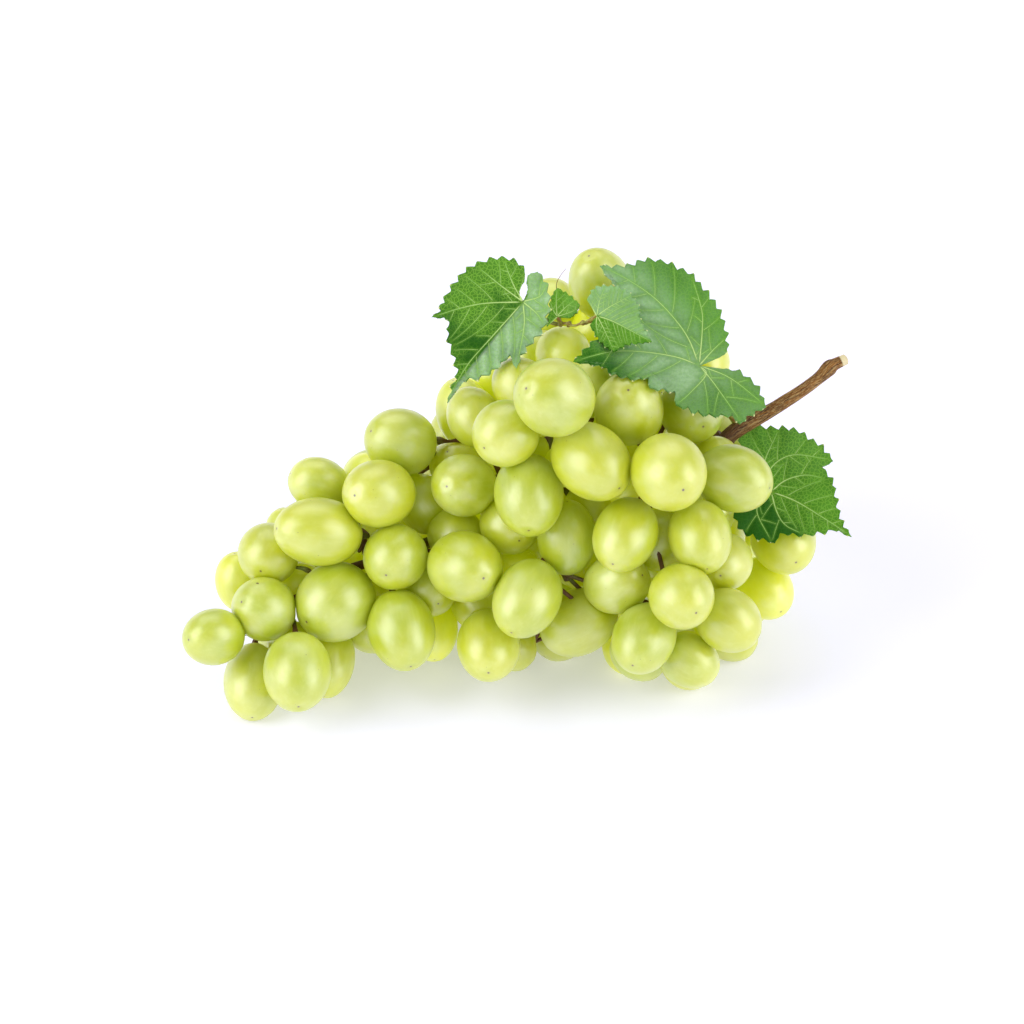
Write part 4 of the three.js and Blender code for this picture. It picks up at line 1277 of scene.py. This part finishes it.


# deep and bright green are mixed by painted light and by random patches; the pale bluish green is a painted
# sheen
leafColours = {
    "deep": (0.011, 0.105, 0.001), "brightGreenAndPaintedLit": (0.095, 0.33, 0.008), "thread": (0.27, 0.55, 0.06),
    "vein": (0.60, 0.78, 0.28), "veinEnd": (0.26, 0.55, 0.10), "paintedSheen": (0.48, 0.68, 0.43),
    "edge": (0.88, 0.86, 0.42), "underDeep": (0.11, 0.27, 0.07), "underBrightGreenAndPaintedLit": (0.24, 0.44, 0.14),
    "shine": 0.42, "underShine": 0.6, "gloss": 0.14,  # two roughnesses, and how much they mirror
}


def leafMaterial(name, *kinds):
    deep, brightGreenAndPaintedLit, shine = (leafColours[kind] for kind in kinds)
    d = Desk(name)
    spread = d.spread("spread")
    gap, net, tooth = d.split(d.attribute("look"))
    paintedLitShare, paintedSheenShare, rim = d.split(d.attribute("tone"))
    warped = d.shift(spread, d.cloud(spread, 0.5, output="Color"), 0.9)
    threads = d.math("MAXIMUM", d.between(d.cells(warped, 0.9), 0.16, 0.05, 0, 0.9),
                     d.between(d.cells(warped, 2.6), 0.3, 0.08, 0, 0.5))
    patches = d.cloud(spread, 0.09, 4.0)
    # painted light: brighter green where light falls on the leaf, deeper green where it is shaded, with
    # random patches on top
    paintedLitAndPatches = d.math("ADD", paintedLitShare, d.between(patches, 0.25, 0.75, -0.16, 0.16), clamp=True)
    colour = d.mix(paintedLitAndPatches, deep, brightGreenAndPaintedLit)
    grain = d.cloud(spread, 1.1, 4.0, 0.6)
    # painted sheen: a pale bluish green where the leaf would mirror the light, broken by grain and patches
    # and weaker near the veins
    paintedSheen = d.math("MULTIPLY", paintedSheenShare, d.between(grain, 0.3, 0.65, 0.72, 1))
    paintedSheen = d.math("MULTIPLY", paintedSheen, d.between(patches, 0.2, 0.65, 0.6, 1))
    paintedSheen = d.math("MULTIPLY", paintedSheen, d.between(gap, 0.2, 2.0, 0.6, 1))
    colour = d.mix(paintedSheen, colour, leafColours["paintedSheen"])
    quiet = d.math("MULTIPLY_ADD", paintedSheen, -0.55, 1.0)
    netted = d.math("MULTIPLY", threads, d.math("MULTIPLY", net, quiet))
    # the net fades where the leaf is painted in shade
    netted = d.math("MULTIPLY", netted, d.between(paintedLitAndPatches, 0.0, 0.2, 0.12, 0.95))
    colour = d.mix(netted, colour, leafColours["thread"])
    colour = d.mix(d.between(gap, 0.7, 0.2, 0, 0.25), colour, leafColours["thread"])
    colour = d.mix(d.between(rim, 0.975, 1.0, 0, 0.3), colour, deep)
    colour = d.mix(d.between(tooth, 0.35, 0.95, 0, 0.95), colour, leafColours["edge"])
    return d.wear(Base_Color=colour, Roughness=shine, Specular_IOR_Level=leafColours["gloss"],
                  Subsurface_Weight=0.3, Subsurface_Scale=0.001, Subsurface_Radius=(0.5, 1.0, 0.15),
                  Normal=d.bump(d.math("MULTIPLY", threads, -1.0), 0.45, 0.0002))


leafTop = leafMaterial("leafUpperSkin", "deep", "brightGreenAndPaintedLit", "shine")
leafUnder = leafMaterial("leafUnderSkin", "underDeep", "underBrightGreenAndPaintedLit", "underShine")


def veinMaterial():
    d = Desk("leafVeinSkin")
    fade, _, _ = d.split(d.attribute("tone"))
    flecks = d.cloud(d.place(), 900.0, 2.0)
    colour = d.mix(fade, leafColours["veinEnd"], leafColours["vein"])
    colour = d.mix(d.between(flecks, 0.4, 0.7, 0, 0.25), colour, leafColours["thread"])
    return d.wear(Base_Color=colour, Roughness=0.5, Normal=d.bump(flecks, 0.2, 0.0001))


veinSkin = veinMaterial()

for n, leaf in enumerate(leaves):
    makeLeaf(leaf, 101 + n)
print("leaves modelled")


# Floor, lights and camera.

studio = {
    "floor": (0.76, 0.745, 0.95), "glow": (0.94, 0.95, 1.0), "floorGlow": 0.35, "floorSize": 12,
    "around": 0.28, "wallGlow": 0.55, "wallRadius": 4, "wallHeight": 1.3, "sensor": 36,
    "wall": (0.8, 0.8, 0.8), "rough": 0.9,
    "bounces": {"max_bounces": 6, "diffuse_bounces": 3, "glossy_bounces": 2},
    "lights": [  # name, place, size, watts
        ("softboxLeft", (-1.12, -0.60, 0.80), (1.05, 1.4), 14),
        ("softboxRight", (1.15, -0.58, 0.70), (0.95, 1.3), 11),
        ("overhead", (-0.1, 0.55, 1.3), (1.4, 1.0), 6),
    ],
}


def makeFloor():
    deselectAll()
    bpy.ops.mesh.primitive_plane_add(size=studio["floorSize"], location=(0, 0, 0))
    floor = bpy.context.object
    floor.name = "studio_floor"
    d = Desk("paleFloor")
    grain = d.cloud(d.place(), 30.0)
    floor.data.materials.append(d.wear(
        Base_Color=d.mix(grain, studio["floor"], tuple(c * 0.995 for c in studio["floor"])),
        Roughness=studio["rough"],
        Emission_Color=(*studio["glow"], 1), Emission_Strength=studio["floorGlow"]))


def makeWall():  # a low white wall all round, for what the skins reflect
    deselectAll()
    high = studio["wallHeight"]
    bpy.ops.mesh.primitive_cylinder_add(vertices=64, radius=studio["wallRadius"], depth=high,
                                        end_fill_type="NOTHING", location=(0, 0, high / 2))
    wall = bpy.context.object
    wall.name = "studio_wall"
    bpy.ops.object.transform_apply(location=True)
    bpy.ops.object.shade_smooth()
    d = Desk("paleWall")
    wall.data.materials.append(d.wear(
        Base_Color=studio["wall"], Roughness=studio["rough"], Emission_Color=(1, 1, 1, 1),
        Emission_Strength=studio["wallGlow"]))


def makeLights():
    aim = Vector(toRoom((0, 0, 45)))
    for name, place, size, watts in studio["lights"]:
        deselectAll()
        bpy.ops.object.light_add(type="AREA", location=place)
        lamp = bpy.context.object
        lamp.name = name
        lamp.data.shape = "RECTANGLE"
        lamp.data.size, lamp.data.size_y = size
        lamp.data.energy = watts
        lamp.rotation_euler = (aim - Vector(place)).to_track_quat("-Z", "Y").to_euler()
    world = bpy.data.worlds.new("paleRoom")
    bpy.context.scene.world = world
    world.use_nodes = True
    world.node_tree.nodes["Background"].inputs[0].default_value = (1, 1, 1, 1)
    world.node_tree.nodes["Background"].inputs[1].default_value = studio["around"]


def makeCamera():
    target = Vector(toRoom((0, 0, sight["aim"])))
    place = Vector(toRoom(eye))
    deselectAll()
    bpy.ops.object.camera_add(location=place)
    camera = bpy.context.object
    camera.name = "studioCamera"
    camera.rotation_euler = (target - place).to_track_quat("-Z", "Y").to_euler()
    camera.data.sensor_width = studio["sensor"]
    camera.data.lens = studio["sensor"] * sight["distance"] / sight["fieldWidth"]
    bpy.context.scene.camera = camera


makeFloor()
makeWall()
makeLights()
makeCamera()
bpy.context.scene.view_settings.view_transform = "Standard"
bpy.context.scene.view_settings.look = "None"
for kind, count in studio["bounces"].items():
    setattr(bpy.context.scene.cycles, kind, count)
print("studio ready")
